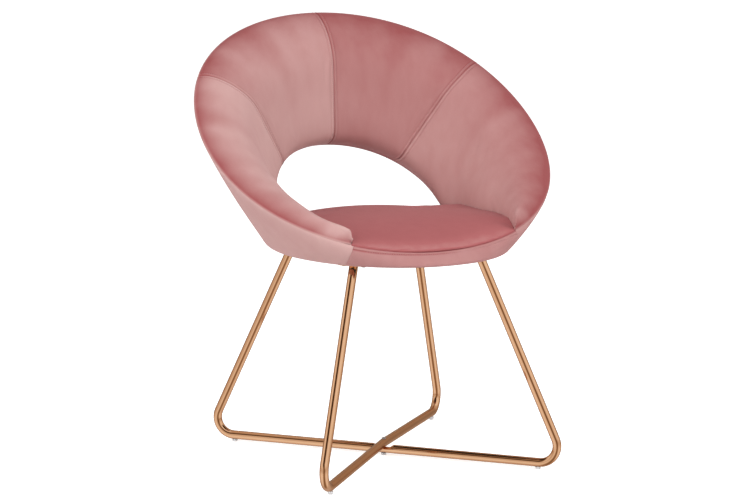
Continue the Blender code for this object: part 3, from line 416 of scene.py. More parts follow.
def thicken(piece, thickness, offset):
    """Live wall of a layer of cloth."""
    wall = piece.modifiers.new("cloth_thickness", "SOLIDIFY")
    wall.thickness, wall.offset = thickness, offset


def drawn_over(points, left, right):
    """Turn round the rim's oval at the front, by its own angle on each side, and up or down with the rim."""
    across = points[..., 0] / RIM_HALF_WIDTH
    deep = (points[..., 1] - RIM_SETBACK) / RIM_HALF_DEPTH
    ahead = -deep / np.maximum(np.hypot(across, deep), 1e-6)
    a = (left + (right - left) * smooth(across, -0.3, 0.3)) * smooth(ahead, 0.35, 0.90)
    y = RIM_SETBACK + RIM_HALF_DEPTH * (np.sin(a) * across + np.cos(a) * deep)
    x = RIM_HALF_WIDTH * (np.cos(a) * across - np.sin(a) * deep)
    lift = RIM_SLOPE * (y - points[..., 1])
    share = np.clip((points[..., 2] - BASE_HEIGHT) / FRONT_HEIGHT, 0.0, 1.0)
    return np.stack([x, y, points[..., 2] + lift * share], -1)


def loft(name, grid, nap_and_painted_light=None, wrap=True, caps=True):
    """Stations by rows of points, closed round the rows and capped at the ends, turned to face outward."""
    stations, rows = grid.shape[:2]
    ids = np.arange(stations * rows).reshape(stations, rows)
    points = grid.reshape(-1, 3)
    faces = quads(ids, wrap)
    ends = [ids[0, ::-1].tolist(), ids[-1].tolist()] if caps else []
    if volume(points, faces) < 0:
        faces = faces[:, ::-1]
        ends = [end[::-1] for end in ends]
    return add_piece(name, points, faces.tolist() + ends, nap_and_painted_light)


def puffed(piece, held, cap):
    """Blow the cloth of a closed piece up from inside, with some points held and a longest move."""
    group = piece.vertex_groups.new(name="held")
    group.add(np.flatnonzero(held).tolist(), 1.0, "REPLACE")
    cloth = piece.modifiers.new("puff", "CLOTH")
    cloth.settings.vertex_group_mass = group.name
    cloth.settings.use_pressure = True
    cloth.settings.uniform_pressure_force = PRESSURE
    cloth.settings.effector_weights.gravity = 0.0
    cloth.settings.quality = CLOTH_STEPS
    cloth.point_cache.frame_start, cloth.point_cache.frame_end = 1, PUFF_FRAMES
    for frame_number in range(1, PUFF_FRAMES + 1):
        scene.frame_set(frame_number)
    before = np.empty(3 * len(piece.data.vertices))
    after = np.empty_like(before)
    piece.data.vertices.foreach_get("co", before)
    piece.evaluated_get(bpy.context.evaluated_depsgraph_get()).data.vertices.foreach_get("co", after)
    piece.modifiers.remove(cloth)
    piece.vertex_groups.remove(group)
    scene.frame_set(1)
    move = (after - before).reshape(-1, 3)
    far = np.linalg.norm(move, axis=1, keepdims=True)
    move *= cap * np.tanh(far / cap) / np.maximum(far, 1e-9)
    piece.data.vertices.foreach_set("co", before + move.ravel())
    piece.data.update()
    print(piece.name, "puffed by up to", round(1000 * float(far.max()), 1), "mm, kept to", 1000 * cap)


def mirror_x(grid):
    """Left-hand copy of a right-hand grid."""
    return grid * np.array([-1.0, 1.0, 1.0])


def look_up(rulers, tables, wanted):
    """Interpolate many tables at once: each gets its own stretch of one long ruler, so one call serves all."""
    shift = np.arange(len(rulers))[:, None] * (rulers.max() - rulers.min() + 1.0)
    ruler, spots = (rulers + shift).ravel(), (wanted + shift).ravel()
    found = [np.interp(spots, ruler, tables[..., k].ravel()) for k in range(tables.shape[-1])]
    return np.stack(found, -1).reshape(*wanted.shape, -1)


def line_lengths(lines):
    """Distance along each polyline at each of its points."""
    steps = np.linalg.norm(np.diff(lines, axis=1), axis=-1)
    return np.concatenate([np.zeros((len(lines), 1)), np.cumsum(steps, axis=1)], axis=1)


# %% [markdown]
# ## Velvet
# Velvet is a pile of short upright fibres. Seen along the fibres it is dark, seen across them it is pale.
# The broad changes of shade are a brightness stored on each point of a panel, because it follows the panel
# and not space; besides the cloth's tone it holds painted shade in the band inside the rim, in the roll over
# the hole and in the seams, painted highlights on crowns and ridges, and paler left and darker right pieces as
# painted light and shade. Brush marks and fibres are noise. A sheen on the shader adds the pale bloom at
# grazing angles.

# %% Velvet group and materials
CLOUDS, BRUSH, FIBRES = (9.0, 2.0), (55.0, 3.0), (900.0, 2.0)  # scale and detail of three noises
MOTTLE_SHARES = 1.0, 0.8, 0.5  # what each adds to the mottling
BRUSH_STRETCH = (1.0, 1.0, 0.35)
PILE_ROUGHNESS, FIBRE_ROUGHNESS, BRUSH_HEIGHT = 0.75, 0.2, 0.6


def make_group(name, inputs, outputs):
    """Empty shader group with a Vector and other named sockets, and its two end nodes."""
    tree = bpy.data.node_groups.new(name, "ShaderNodeTree")
    for label, kind in (("Vector", "Vector"), *inputs):
        tree.interface.new_socket(label, in_out="INPUT", socket_type="NodeSocket" + kind)
    for label, kind in outputs:
        tree.interface.new_socket(label, in_out="OUTPUT", socket_type="NodeSocket" + kind)
    return tree, tree.nodes.new("NodeGroupInput").outputs, tree.nodes.new("NodeGroupOutput")


def make_pile_group():
    """Pile: the stored brightness, painted shade and highlights included, plus mottling picks a colour between
    dark and pale; fine noise is the fibre height.
    """
    tree, given, made = make_group(
        "velvet_pile",
        [("Nap_and_painted_light", "Float"), ("Dark", "Color"), ("Middle", "Color"), ("Pale", "Color"), ("Mottle", "Float")],
        [("Color", "Color"), ("Height", "Float"), ("Roughness", "Float")])
    place = given["Vector"]
    stretch = add_node(tree, "Mapping", {"Vector": place, "Scale": BRUSH_STRETCH}).outputs["Vector"]
    clouds, fibre = noise(tree, *CLOUDS, place), noise(tree, *FIBRES, place)
    brushed = noise(tree, *BRUSH, stretch)
    spread = 0.0
    for texture, share in zip((clouds, brushed, fibre), MOTTLE_SHARES):
        spread = math_node(tree, "MULTIPLY_ADD", math_node(tree, "SUBTRACT", texture, 0.5), share, spread)
    shade = math_node(tree, "MULTIPLY_ADD", spread, given["Mottle"], given["Nap_and_painted_light"])
    above = math_node(tree, "SUBTRACT", shade, 0.5)
    lower = mix_node(tree, math_node(tree, "MULTIPLY", shade, 2.0), given["Dark"], given["Middle"])
    feed(tree, made, {
        "Color": mix_node(tree, math_node(tree, "MULTIPLY", above, 2.0), lower, given["Pale"]),
        "Height": math_node(tree, "MULTIPLY_ADD", brushed, BRUSH_HEIGHT, fibre),
        "Roughness": math_node(tree, "MULTIPLY_ADD", fibre, FIBRE_ROUGHNESS, PILE_ROUGHNESS)})
    return tree


def place_group(tree, group, inputs):
    """Outputs of a group node in a material, fed with Object coordinates and other inputs."""
    return add_node(tree, "Group", {"Vector": object_place(tree), **inputs}, node_tree=group).outputs


def make_velvet(name, dark, middle, pale, mottle):
    """Velvet of three shades, chosen by the stored brightness with its painted shade and highlights."""
    mat, tree, shader = new_material(name, Specular_IOR_Level=0.12, Sheen_Weight=0.13, Sheen_Roughness=0.35,
                                     Sheen_Tint=(1.0, 0.78, 0.76, 1.0))
    nap_and_painted_light = add_node(tree, "Attribute", attribute_name="nap_and_painted_light").outputs["Fac"]
    pile = place_group(tree, pile_group, {"Nap_and_painted_light": nap_and_painted_light, "Dark": (*dark, 1.0), "Middle": (*middle, 1.0),
                                          "Pale": (*pale, 1.0), "Mottle": mottle})
    feed(tree, shader, {"Base Color": pile["Color"], "Roughness": pile["Roughness"]})
    add_bump(tree, shader, pile["Height"], 0.0004, 0.35)
    return mat


pile_group = make_pile_group()
velvet = make_velvet("dusty_pink_velvet", (0.312, 0.082, 0.083), (0.454, 0.226, 0.217),
                     (0.598, 0.380, 0.359), 0.20)
seat_velvet = make_velvet("deep_pink_velvet", (0.304, 0.078, 0.082), (0.404, 0.124, 0.126),
                          (0.570, 0.342, 0.322), 0.20)
print("velvets:", velvet.name, seat_velvet.name)

# %% [markdown]
# ## Padding of the arms and back
# Foam is glued to the moulded shell and velvet is pulled over it. Cut across, the padding is a rounded
# roll at the rim, a straight fall and a tighter roll at the hole. Superellipses give rolls that are fuller
# than circles, and a running mean lets roll and fall flow together as cloth does. The section shrinks
# towards the front of each arm, where an upright inner wall and a superellipse close it in a nose.

# %% Section of the padding
PAD_FOOT_DEPTH = 0.214  # half depth of the oval that the padding slopes down to
PAD_HEIGHT, PAD_RISE = 0.072, 0.099  # crown above the shell at the back, and its distance from the rim
ARM_HEIGHT, ARM_RISE = 0.055, 0.045  # the same at the arms
NOSE_HEIGHT, NOSE_RISE = 0.035, 0.010  # and at the front end of an arm
ARM_FULL, RISE_FULL, LEAN_FULL = np.radians([62.0, 50.0, 65.0])
PAD_END, PAD_ROUND = 0.74, 1.8
HOLE_ROLL, HOLE_ROUND = 0.017, 2.3
NOSE, NOSE_ROUND, NOSE_SHARE = math.radians(3.0), 2.6, 0.06
TIP_EDGE, TIP_LENGTH = 0.0008, 0.10  # the shell's edge at the tips, and the turn in which it grows
ARM_INNER, ARM_PINCH, ARM_NARROW = 0.195, 0.008, 0.040
WALL_ROUND, WALL_LACK = 0.006, 0.0008
EDGE_TUCK = 0.0012  # how deep an edge is pulled into its seam
FINE = 240  # points of a section before it is laid in rows
ARM_BLEND, SLIM_BLEND = (0.50, 0.85), (0.46, 0.80)  # where the height and the rise of the arms take over
PAD_SLACK = 0.12  # share by which the back's height falls towards the front
LEAST_DEPTH, MORE_DEPTH, DEPTH_TURN = 0.0045, 0.008, math.radians(45.0)
EASE_ENDS, EASE_TURN = (0.02, 0.13), np.radians([33.0, 60.0])
WALL_NARROWS, WALL_LENGTH, WALL_POWER = -0.045, 0.145, 1.5
WALL_FADES, WALL_NEAR = (0.05, 0.11), 0.02  # where the wall ends, and where the padding is eased to it
NOSE_FOOT, NOSE_FOOT_TURN = 0.4295, math.radians(38.0)


def pad_sizes(theta):
    """Height and rise: back, arm and nose values blended by smooth steps, times a superellipse at the tip."""
    front = (1 + np.cos(theta)) / 2
    arm, slim = smooth(front, *ARM_BLEND), smooth(front, *SLIM_BLEND)
    t = np.clip((theta - FRONT_SEAM) / NOSE, 0.0, 1.0)
    tip = NOSE_SHARE + (1 - NOSE_SHARE) * (1 - (1 - t) ** NOSE_ROUND) ** (1 / NOSE_ROUND)
    arm_height = NOSE_HEIGHT + (ARM_HEIGHT - NOSE_HEIGHT) * smooth(theta, FRONT_SEAM, ARM_FULL)
    arm_rise = NOSE_RISE + (ARM_RISE - NOSE_RISE) * smooth(theta, FRONT_SEAM, RISE_FULL)
    height = (PAD_HEIGHT * (1 - PAD_SLACK * front) * (1 - arm) + arm_height * arm) * tip
    return height, PAD_RISE * (1 - slim) + arm_rise * slim


def least_depth(theta):
    """Room that the padding leaves for cover and shell; the shell is thin at the noses."""
    return LEAST_DEPTH + MORE_DEPTH * smooth(theta, FRONT_SEAM, DEPTH_TURN)


def pad_section(theta, dense=160):
    """Sections as (down, off) pairs: a quarter superellipse, a straight fall and a second quarter of one."""
    height, rise = (v[:, None] for v in pad_sizes(theta))
    straight = np.maximum(hole_distance(theta)[:, None] - HOLE_ROLL, rise + HOLE_ROLL)
    last = height * PAD_END
    t = np.linspace(0.0, math.pi / 2, dense)
    u = np.linspace(0.0, 1.0, dense)[1:]
    down = [rise * (1 - np.cos(t) ** (2 / PAD_ROUND)), rise + (straight - rise) * u,
            straight + HOLE_ROLL * np.sin(t[1:]) ** (2 / HOLE_ROUND)]
    off = [height * np.sin(t) ** (2 / PAD_ROUND), height + (last - height) * u,
           last * np.cos(t[1:]) ** (2 / HOLE_ROUND)]
    line = np.stack([np.concatenate(down, 1), np.concatenate(off, 1)], -1)
    lengths = line_lengths(line)
    return look_up(lengths, line, lengths[:, -1:] * np.linspace(0.0, 1.0, FINE))


def eased(theta, line, reach=22):
    """Each point drawn to the bell-weighted mean of its neighbours, less near the two ends and at the noses."""
    weights = np.hanning(2 * reach + 3)[1:-1]
    order = np.arange(FINE)
    mean = np.zeros_like(line)
    for offset, weight in zip(range(-reach, reach + 1), weights / weights.sum()):
        mean += weight * line[:, np.clip(order + offset, 0, FINE - 1)]
    inner = smooth(np.minimum(order, FINE - 1 - order) / (FINE - 1), *EASE_ENDS)
    share = 0.25 + 0.75 * smooth(theta, *EASE_TURN)
    return line + (mean - line) * inner[:, None] * share[:, None, None]


def pad_frame(theta):
    """Rim point, way down, way off and shell normal; the way off stands upright at the noses."""
    top, down, inward = side_frame(theta, PAD_FOOT_DEPTH)
    upright = unit(np.array([0.0, 0.0, 1.0]) - down * down[:, 2:])
    share = smooth(theta, FRONT_SEAM, LEAN_FULL)[:, None]
    return top, down, unit(inward * share + upright * (1 - share)), inward


def inner_wall(y):
    """Half width between the arms: pinched behind the middle, and narrowing by a power of 1.5 to the front."""
    narrow = np.clip((WALL_NARROWS - y) / WALL_LENGTH, 0.0, None)
    return ARM_INNER - ARM_PINCH * smooth(y, WALL_NARROWS, 0.0) - ARM_NARROW * narrow ** WALL_POWER


def pad_lines(theta):
    """Sections in space: rim plus the ways down and off, outside the inner wall, and what the wall lacks."""
    line = eased(theta, pad_section(theta))
    top, down, off, inward = pad_frame(theta)
    points = top[:, None] + down[:, None] * line[..., :1] + off[:, None] * line[..., 1:]
    beyond = inner_wall(points[..., 1]) - points[..., 0]
    push = (beyond + np.sqrt(beyond ** 2 + WALL_ROUND ** 2)) / 2
    push = push * (1 - smooth(points[..., 1], *WALL_FADES)) * smooth(beyond, -WALL_NEAR, 0.0)
    deep = np.sum((points - top[:, None]) * inward[:, None], axis=-1) - least_depth(theta)[:, None]
    room = np.maximum(deep, 0.0) / np.maximum(-inward[:, :1], 0.2)
    points[..., 0] += np.minimum(push, room)
    return points, np.maximum(push - room, 0.0)


def foot_level(theta):
    """Height where the padding ends: on the shell's foot, but at the seat's edge at the tips of the noses."""
    return Z_FLOOR + (NOSE_FOOT - Z_FLOOR) * (1 - smooth(theta, FRONT_SEAM, NOSE_FOOT_TURN))


def pad_rows(theta, count):
    """Rows of the padding's face from the rim seam to the hole or the foot: points and distances from it."""
    lines, lacking = pad_lines(theta)
    order = np.arange(FINE)
    crown = np.argmax(lines[..., 2], axis=1)[:, None]
    past = (lines[..., 2] < foot_level(theta)[:, None]) | (lacking > WALL_LACK)
    past = past & (order > crown)
    stop = np.where(past.any(axis=1), np.argmax(past, axis=1), FINE - 1)
    lengths = line_lengths(lines)
    total = np.take_along_axis(lengths, stop[:, None], axis=1)
    u = np.linspace(0.0, 1.0, count)
    spread = 0.55 * u + 0.45 * (1 - np.cos(math.pi * u)) / 2
    wanted = EDGE_TUCK + (total - EDGE_TUCK) * spread
    return np.concatenate([look_up(lengths, lines, wanted), wanted[..., None]], -1), total


FACE_ROWS, BACK_ROWS = 66, 8
table_angles = np.linspace(FRONT_SEAM, math.pi, 760)
face_table, total_table = pad_rows(table_angles, FACE_ROWS)
print("padding face, longest section in mm:", round(1000 * float(total_table.max())))

# %% [markdown]
# ## Stitched panels
# Each half of the bowl has an arm panel and a back panel. The seam between them leaves the rim at a right
# angle and then sweeps back towards the hole, so the columns of both panels are sheared to follow it. The
# loops of a panel run over the face and back along the shell, so the piece is closed and has the room of
# its foam. A seam is a valley with a shallow groove under each topstitch, and points lie close together there.

# %% Arm and back panels
SEAM_SWEEP = math.radians(37.2)  # turn of the side seam for each length of section
SWEEP_START, SWEEP_EASE = 0.20, 0.12
VALLEY, VALLEY_WIDTH = 0.0015, 0.0018  # depth and half width of a seam
GROOVE, GROOVE_WIDTH = 0.0006, 0.0012  # the same under a topstitch
RIDGE, RIDGE_WIDTH = 0.0004, 0.0016  # height and half width of the cloth puffed up between them
STITCH_OFFSET = 0.0060  # seam to topstitch
STITCH_COLUMN = 6  # which of the next distances that is
NEAR_SEAM = np.array([0.1, 1.0, 2.0, 3.1, 4.2, 5.1, 6.0, 6.9, 7.9, 9.2, 11.5, 15.0]) / 1000.0


def bell(value, middle, width):
    """Bell curve of height one."""
    return np.exp(-((value - middle) / width) ** 2)


def seam_dip(distance):
    """Bell-shaped valley at the seam plus a narrower bell at the topstitch, minus a ridge halfway between."""
    groove = GROOVE * bell(distance, STITCH_OFFSET, GROOVE_WIDTH)
    ridge = RIDGE * bell(distance, STITCH_OFFSET / 2, RIDGE_WIDTH)
    return VALLEY * bell(distance, 0.0, VALLEY_WIDTH) + groove - ridge


def seam_turn(share):
    """Sweep of the side seam: nothing near the rim, then eased into a share of the section's length."""
    past = share - SWEEP_START
    return SEAM_SWEEP * (past + np.sqrt(past ** 2 + SWEEP_EASE ** 2)) / 2


def rim_speed(theta):
    """Metres along the rim for each radian."""
    return np.linalg.norm(rim(theta + 1e-3) - rim(theta - 1e-3), axis=-1) / 2e-3


def face_normals(points):
    """Unit normals of a grid: the cross product of its two differences, pointing into the bowl."""
    return unit(np.cross(np.gradient(points, axis=0), np.gradient(points, axis=1)) + 1e-12)


def panel_points(theta, sweep, seams):
    """Loops of a panel: the face, dipped at its seam columns, then back up along the moulded shell."""
    row_share = (face_table[-1, :, 3] / total_table[-1])[None]
    turned = theta[:, None] + sweep[:, None] * seam_turn(row_share)
    rulers = np.broadcast_to(table_angles, (FACE_ROWS, len(table_angles)))
    found = look_up(rulers, face_table.transpose(1, 0, 2), turned.T).transpose(1, 0, 2)
    face, down = found[..., :3], found[..., 3]
    flat = face.copy()
    normals = face_normals(flat)
    away = np.stack([np.linalg.norm(flat - flat[seam], axis=-1) for seam in seams]).min(axis=0)
    face = face - normals * seam_dip(away)[..., None]
    share = np.linspace(1.0, 0.0, BACK_ROWS)
    behind = theta[:, None] + sweep[:, None] * seam_turn(share)
    deep = np.minimum(CORE_OUT + CORE, 0.8 * least_depth(theta))[:, None]
    low = np.minimum(fall_to(behind, foot_level(behind), CORE_OUT + CORE), hole_distance(behind) - CORE_EDGE)
    edge = TIP_EDGE + (CORE_EDGE - TIP_EDGE) * smooth(theta, FRONT_SEAM, FRONT_SEAM + TIP_LENGTH)[:, None]
    along = edge + (np.maximum(low, 2 * edge) - edge) * share
    back = shell(behind, along, np.where(share > 0.0, deep, np.minimum(CORE_OUT, deep)))
    return np.concatenate([face, back], axis=1), down, normals, away


def before_seam(seam):
    """Angles that close in on a seam."""
    return seam - NEAR_SEAM[::-1] / rim_speed(np.array([seam]))


def panel_stations(first, last, middle, nose=False):
    """Angles of a panel: close to each seam, then even; a nose gets points by a cosine instead."""
    early, late = first + NEAR_SEAM / rim_speed(np.array([first])), before_seam(last)
    if nose:
        early = first + NOSE * (1 - np.cos(np.linspace(0.0, math.pi / 2, 16)))
    return np.concatenate([early, np.linspace(early[-1], late[0], middle + 2)[1:-1], late])


arm_angles = panel_stations(FRONT_SEAM + 1e-4, SIDE_SEAM, 90, nose=True)
back_angles = panel_stations(SIDE_SEAM, math.pi, 44)
arm_sweep = ((arm_angles - FRONT_SEAM) / (SIDE_SEAM - FRONT_SEAM)) ** 2
back_sweep = (math.pi - back_angles) / (math.pi - SIDE_SEAM)
arm_loops, arm_down, arm_normals, arm_away = panel_points(arm_angles, arm_sweep, [-1])
back_loops, back_down, back_normals, back_away = panel_points(back_angles, back_sweep, [0, -1])
print("points of an arm panel:", arm_loops.shape, "and of a back panel:", back_loops.shape)

# %% [markdown]
# ## Painted shade and highlights on the panels
# The panels get painted shade in a band just inside the rim, in the roll over the hole and in the seams, and
# painted highlights on the crown and on the ridges beside the seams. The inside of the left arm is palest and
# the
# back panel on the right side darkest: the left-hand pieces are paler and the right-hand ones darker as painted
# light and shade. A few smooth steps and bells of the distance from the rim and of the angle describe that, and
# smoothed random marks make the band wider and narrower.

# %% Painted shade and highlights of the panels
BRUSH_ANGLES = np.linspace(FRONT_SEAM, math.pi, 300)
BRUSH_MARKS = np.convolve(np.random.default_rng(11).normal(size=324), np.hanning(27)[1:-1], "valid") / 3.0
MARK_DEPTH, MARK_LIMITS = 0.30, (0.4, 1.8)  # how the marks change the width of the band of painted shade
NOSE_BAND, NOSE_BAND_TURN = 0.45, 0.45  # share of that width at the noses, and the turn in which it grows
# painted shade in the roll over the hole, painted highlight on the crown, painted shade in the seams and
# topstitch grooves, painted highlight on the ridges between them
ROLL_PAINTED_SHADE, CROWN_PAINTED_HIGHLIGHT, SEAM_PAINTED_SHADE, STITCH_PAINTED_SHADE, RIDGE_PAINTED_HIGHLIGHT = 0.30, 0.19, 0.20, 0.11, 0.10
HIDDEN_SHADE = 0.4
PANEL_PUFF = 0.003  # longest move of a puffed panel


def panel_nap_and_painted_light(theta, down, away, base, band_depth, band_width):
    """Base shade, minus painted shade in bands at the rim, at the hole and in the seams, plus painted
    highlights on the crown and ridges.
    """
    theta, total = theta[:, None], down[:, -1:]
    brushed = np.clip(1 + MARK_DEPTH * np.interp(theta, BRUSH_ANGLES, BRUSH_MARKS), *MARK_LIMITS)
    brushed *= NOSE_BAND + (1 - NOSE_BAND) * smooth(theta, FRONT_SEAM, FRONT_SEAM + NOSE_BAND_TURN)
    # painted shade: a dark band inside the rim, made wider and narrower by the brush marks
    band = band_depth * np.exp(-down / (band_width * brushed)) * smooth(down, 0.0, 0.006)
    behind = smooth(theta, HOLE_CORNER - 0.25, HOLE_CORNER)
    # painted shade in the roll over the hole and in the seams, painted highlights on the crown and the ridges
    roll_shade = ROLL_PAINTED_SHADE * smooth(down, total - 0.024, total - 0.004) * behind
    crown = CROWN_PAINTED_HIGHLIGHT * bell(down, 0.70 * total, 0.30 * total)
    seam_shade = SEAM_PAINTED_SHADE * bell(away, 0.0, 0.0012) + STITCH_PAINTED_SHADE * bell(away, STITCH_OFFSET, 0.0011)
    ridge = RIDGE_PAINTED_HIGHLIGHT * bell(away, STITCH_OFFSET / 2, 0.0015)
    rest = np.full((len(theta), BACK_ROWS), HIDDEN_SHADE)
    return np.concatenate([base - band - roll_shade + crown - seam_shade + ridge, rest], axis=1)


SHADES = {  # base shade, paler on the left and darker on the right as painted light and shade, and depth and width of the band of painted shade inside the rim
    "arm_right": (0.43, 0.58, 0.042), "arm_left": (0.82, 0.96, 0.027),
    "back_right": (0.27, 0.52, 0.038), "back_left": (0.62, 0.72, 0.042)}
panels = []
for part, loops, angles, down, away in (("arm", arm_loops, arm_angles, arm_down, arm_away),
                                        ("back", back_loops, back_angles, back_down, back_away)):
    for side, turn in (("right", np.array), ("left", mirror_x)):
        shade = panel_nap_and_painted_light(angles, down, away, *SHADES[part + "_" + side])
        panel = loft(part + "_padding_" + side, drawn_over(turn(loops), *PAD_DRAWN), shade)
        panel.data.materials.append(velvet)
        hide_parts(part + "_panel_" + side, part + "_foam_" + side)
        held = np.ones(loops.shape[:2], bool)
        held[4:-1, 3:FACE_ROWS - 3] = away[4:-1, 3:FACE_ROWS - 3] < 1.5 * STITCH_OFFSET
        puffed(panel, held, PANEL_PUFF)
        panels.append(panel)
print("panels:", [p.name for p in panels])

# %% [markdown]
# ## Outer cover and front band
# The outside of the bowl is one layer of velvet on each side, sewn to the panels along the rim and round
# the hole and folded under the seat. Below the hole it goes on as a low band. A grid that skips the cells
# of the hole does both, and its columns lean with the seam at the front. Solidify gives the layer its
# thickness, inward.

# %% Covers
BASE_CORNER, TURN_UNDER = 0.013, 0.018
SIDE_LEAST = 0.006  # least height of the rows between band and corner
UPPER_ROWS, SIDE_ROWS, BEND_ROWS = 44, 18, 7
FRONT_LEAN = math.radians(22.5)  # turn of the front seam between rim and underside
FRONT_STITCH, FRONT_GROOVE = 0.0058, 0.0008  # topstitch below the front edge, and its groove
SEAM_TUCK = 0.35  # share of the tuck at the upright seams
RIM_TUCK_WIDTH, SEAM_TUCK_WIDTH, HOLE_TUCK_WIDTH = 0.0022, 0.0020, 0.0025
RIM_PAINTED_HIGHLIGHT, RIM_HIGHLIGHT_WIDTH = 0.18, 0.012  # painted highlight just below the rim
EDGE_PAINTED_SHADE, EDGE_WIDTH = 0.45, 0.0016  # painted shade along the front edge seam
LINE_PAINTED_SHADE, LINE_WIDTH, LINE_FADES = 0.40, 0.0014, (-0.02, 0.06)  # and painted shade along its topstitch groove, fading to the right
# base shades of the covers and the band: the cloth's tone, with the right cover darker than the left as painted
# shade
COVER_SHADE_RIGHT, COVER_SHADE_LEFT, BAND_SHADE = 0.46, 0.77, 0.46


def slant(theta):
    """Sine of the angle between rim and fall line, which turns a distance down into one square to the rim."""
    ahead = unit(rim(theta + 1e-3) - rim(theta - 1e-3))
    return np.linalg.norm(np.cross(side_frame(theta)[1], ahead), axis=-1)


def tucked(near, left, away, behind, groove):
    """Depth of the cover: pulled in at the rim, at its end seams, round the hole and in a groove."""
    deep = np.maximum(bell(near, 0.0, RIM_TUCK_WIDTH), SEAM_TUCK * bell(away, 0.0, SEAM_TUCK_WIDTH)[:, None])
    deep = np.maximum(deep, np.where(behind, bell(left, 0.0, HOLE_TUCK_WIDTH), 0.0))
    return EDGE_TUCK * deep + groove * bell(near, FRONT_STITCH, GROOVE_WIDTH)


def cover_points(theta, lean, away, groove=0.0):
    """Upper rows from the rim to the hole or band, and lower rows from the band round the corner and under."""
    theta, foot = theta[:, None], (theta + lean)[:, None]
    low = fall_to(foot, BASE_HEIGHT, 0.0)
    turn = (foot - theta) / low  # of a column, for each metre down
    band, end = 0 * low, 0 * low
    for _ in range(14):
        band = np.minimum(fall_to(theta + turn * band, Z_BAND, 0.0), low - BASE_CORNER - SIDE_LEAST)
        end = np.minimum(hole_distance(theta + turn * end), fall_to(theta + turn * end, Z_BAND, 0.0))
    end = np.minimum(end, band)
    behind = theta + turn * end > HOLE_CORNER
    u = np.linspace(0.0, 1.0, UPPER_ROWS)
    along = end * (0.5 * u + 0.25 * (1 - np.cos(math.pi * u)))
    angle = theta + turn * along
    near = along * slant(angle)
    upper = shell(angle, along, tucked(near, end - along, away, behind, groove))
    along = band + (low - BASE_CORNER - band) * np.linspace(0.0, 1.0, SIDE_ROWS)
    low_near = along * slant(theta + turn * along)
    side = shell(theta + turn * along, along, tucked(low_near, along, away, False, groove))
    corner = shell(foot, low, 0.0)
    level = unit(-underside(foot) * np.array([1.0, 1.0, 0.0]))
    t = np.linspace(0.0, 1.0, BEND_ROWS)[1:, None]
    turn_in = corner + level * BASE_CORNER
    bend = side[:, -1:] * (1 - t) ** 2 + 2 * corner * t * (1 - t) + turn_in * t ** 2
    under = turn_in + level * np.array([[0.5], [1.0]]) * TURN_UNDER
    rest = np.ones((len(theta), bend.shape[1] + under.shape[1]))
    lower = np.concatenate([side, bend, under], axis=1)
    return upper, lower, near, np.concatenate([low_near, rest], axis=1), angle[:, -1]


def add_cover(name, theta, lean, away, turn, shade, node, groove=0.0):
    """Cover as one grid of upper and lower rows, welded where there is no hole between them."""
    upper, lower, near, low_near, last_angle = cover_points(theta, lean, away, groove)
    ids = np.arange(upper.shape[0] * UPPER_ROWS).reshape(upper.shape[:2])
    low_ids = ids.size + np.arange(lower.shape[0] * lower.shape[1]).reshape(lower.shape[:2])
    whole = np.abs(last_angle) <= HOLE_CORNER + 1e-6
    low_ids[whole, 0] = ids[whole, -1]
    points = drawn_over(turn(np.concatenate([upper.reshape(-1, 3), lower.reshape(-1, 3)])), *COVER_DRAWN)
    faces = np.concatenate([quads(ids), quads(low_ids)])
    a, b, c = (points[faces[:, k]] for k in range(3))
    if np.sum(np.cross(b - a, c - a) * (a - np.array([0.0, 0.0, 0.55]))) < 0:
        faces = faces[:, ::-1]
    fall = np.concatenate([near.ravel(), low_near.ravel()])
    # painted highlight on the rounded edge just below the rim
    nap_and_painted_light = shade + RIM_PAINTED_HIGHLIGHT * np.exp(-fall / RIM_HIGHLIGHT_WIDTH)
    if groove:
        # on the band, painted shade along the front edge seam and along the topstitch groove, fading to the
        # right
        fading = 1 - smooth(points[:, 0], *LINE_FADES)
        line = LINE_PAINTED_SHADE * fading * bell(fall, FRONT_STITCH, LINE_WIDTH)
        nap_and_painted_light = shade - EDGE_PAINTED_SHADE * bell(fall, 0.0, EDGE_WIDTH) - line
    piece, _ = add_used(name, points, faces, nap_and_painted_light)
    piece.data.materials.append(velvet)
    thicken(piece, COVER, -1.0)
    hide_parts(node)


def cover_lean(theta):
    """Full lean at the front seam, dying away towards the back."""
    return FRONT_LEAN * ((math.pi - theta) / (math.pi - FRONT_SEAM)) ** 1.5


cover_angles = panel_stations(FRONT_SEAM, math.pi, 138)
# one column is moved so that it ends exactly in the hole's corner
ends = cover_points(cover_angles, cover_lean(cover_angles), cover_angles)[-1]
nearest = int(np.argmin(np.abs(ends - HOLE_CORNER)))
for _ in range(8):
    column = cover_angles[nearest:nearest + 1]
    cover_angles[nearest] += HOLE_CORNER - float(cover_points(column, cover_lean(column), np.ones(1))[-1][0])
to_seam = np.minimum(cover_angles - FRONT_SEAM, math.pi - cover_angles) * rim_speed(cover_angles)
for side, turn, shade in (("right", np.array, COVER_SHADE_RIGHT), ("left", mirror_x, COVER_SHADE_LEFT)):
    add_cover("outer_velvet_" + side, cover_angles, cover_lean(cover_angles), to_seam, turn, shade,
              "outer_cover_" + side)
half_band = np.concatenate([np.linspace(0.0, FRONT_SEAM - 0.05, 24)[:-1], before_seam(FRONT_SEAM)])
band_angles = np.concatenate([-half_band[:0:-1], half_band])
to_seam = (FRONT_SEAM - np.abs(band_angles)) * rim_speed(band_angles)
add_cover("front_band_velvet", band_angles, FRONT_LEAN * band_angles / FRONT_SEAM, to_seam,
          np.array, BAND_SHADE, "front_band", FRONT_GROOVE)
print("columns of a cover:", len(cover_angles), "and of the band:", len(band_angles))

# %% [markdown]
# ## Seat pad
# The seat is a crowned pad wedged between the arms. Its outline follows the arms where they reach its
# height, the rim at the front and the low band at the back. A square grid bent into a disc covers it with
# even quads and no pole: each point has a share from 0 in the middle to 1 at the lower edge, and the share
# runs over the crown first and then down the wall.

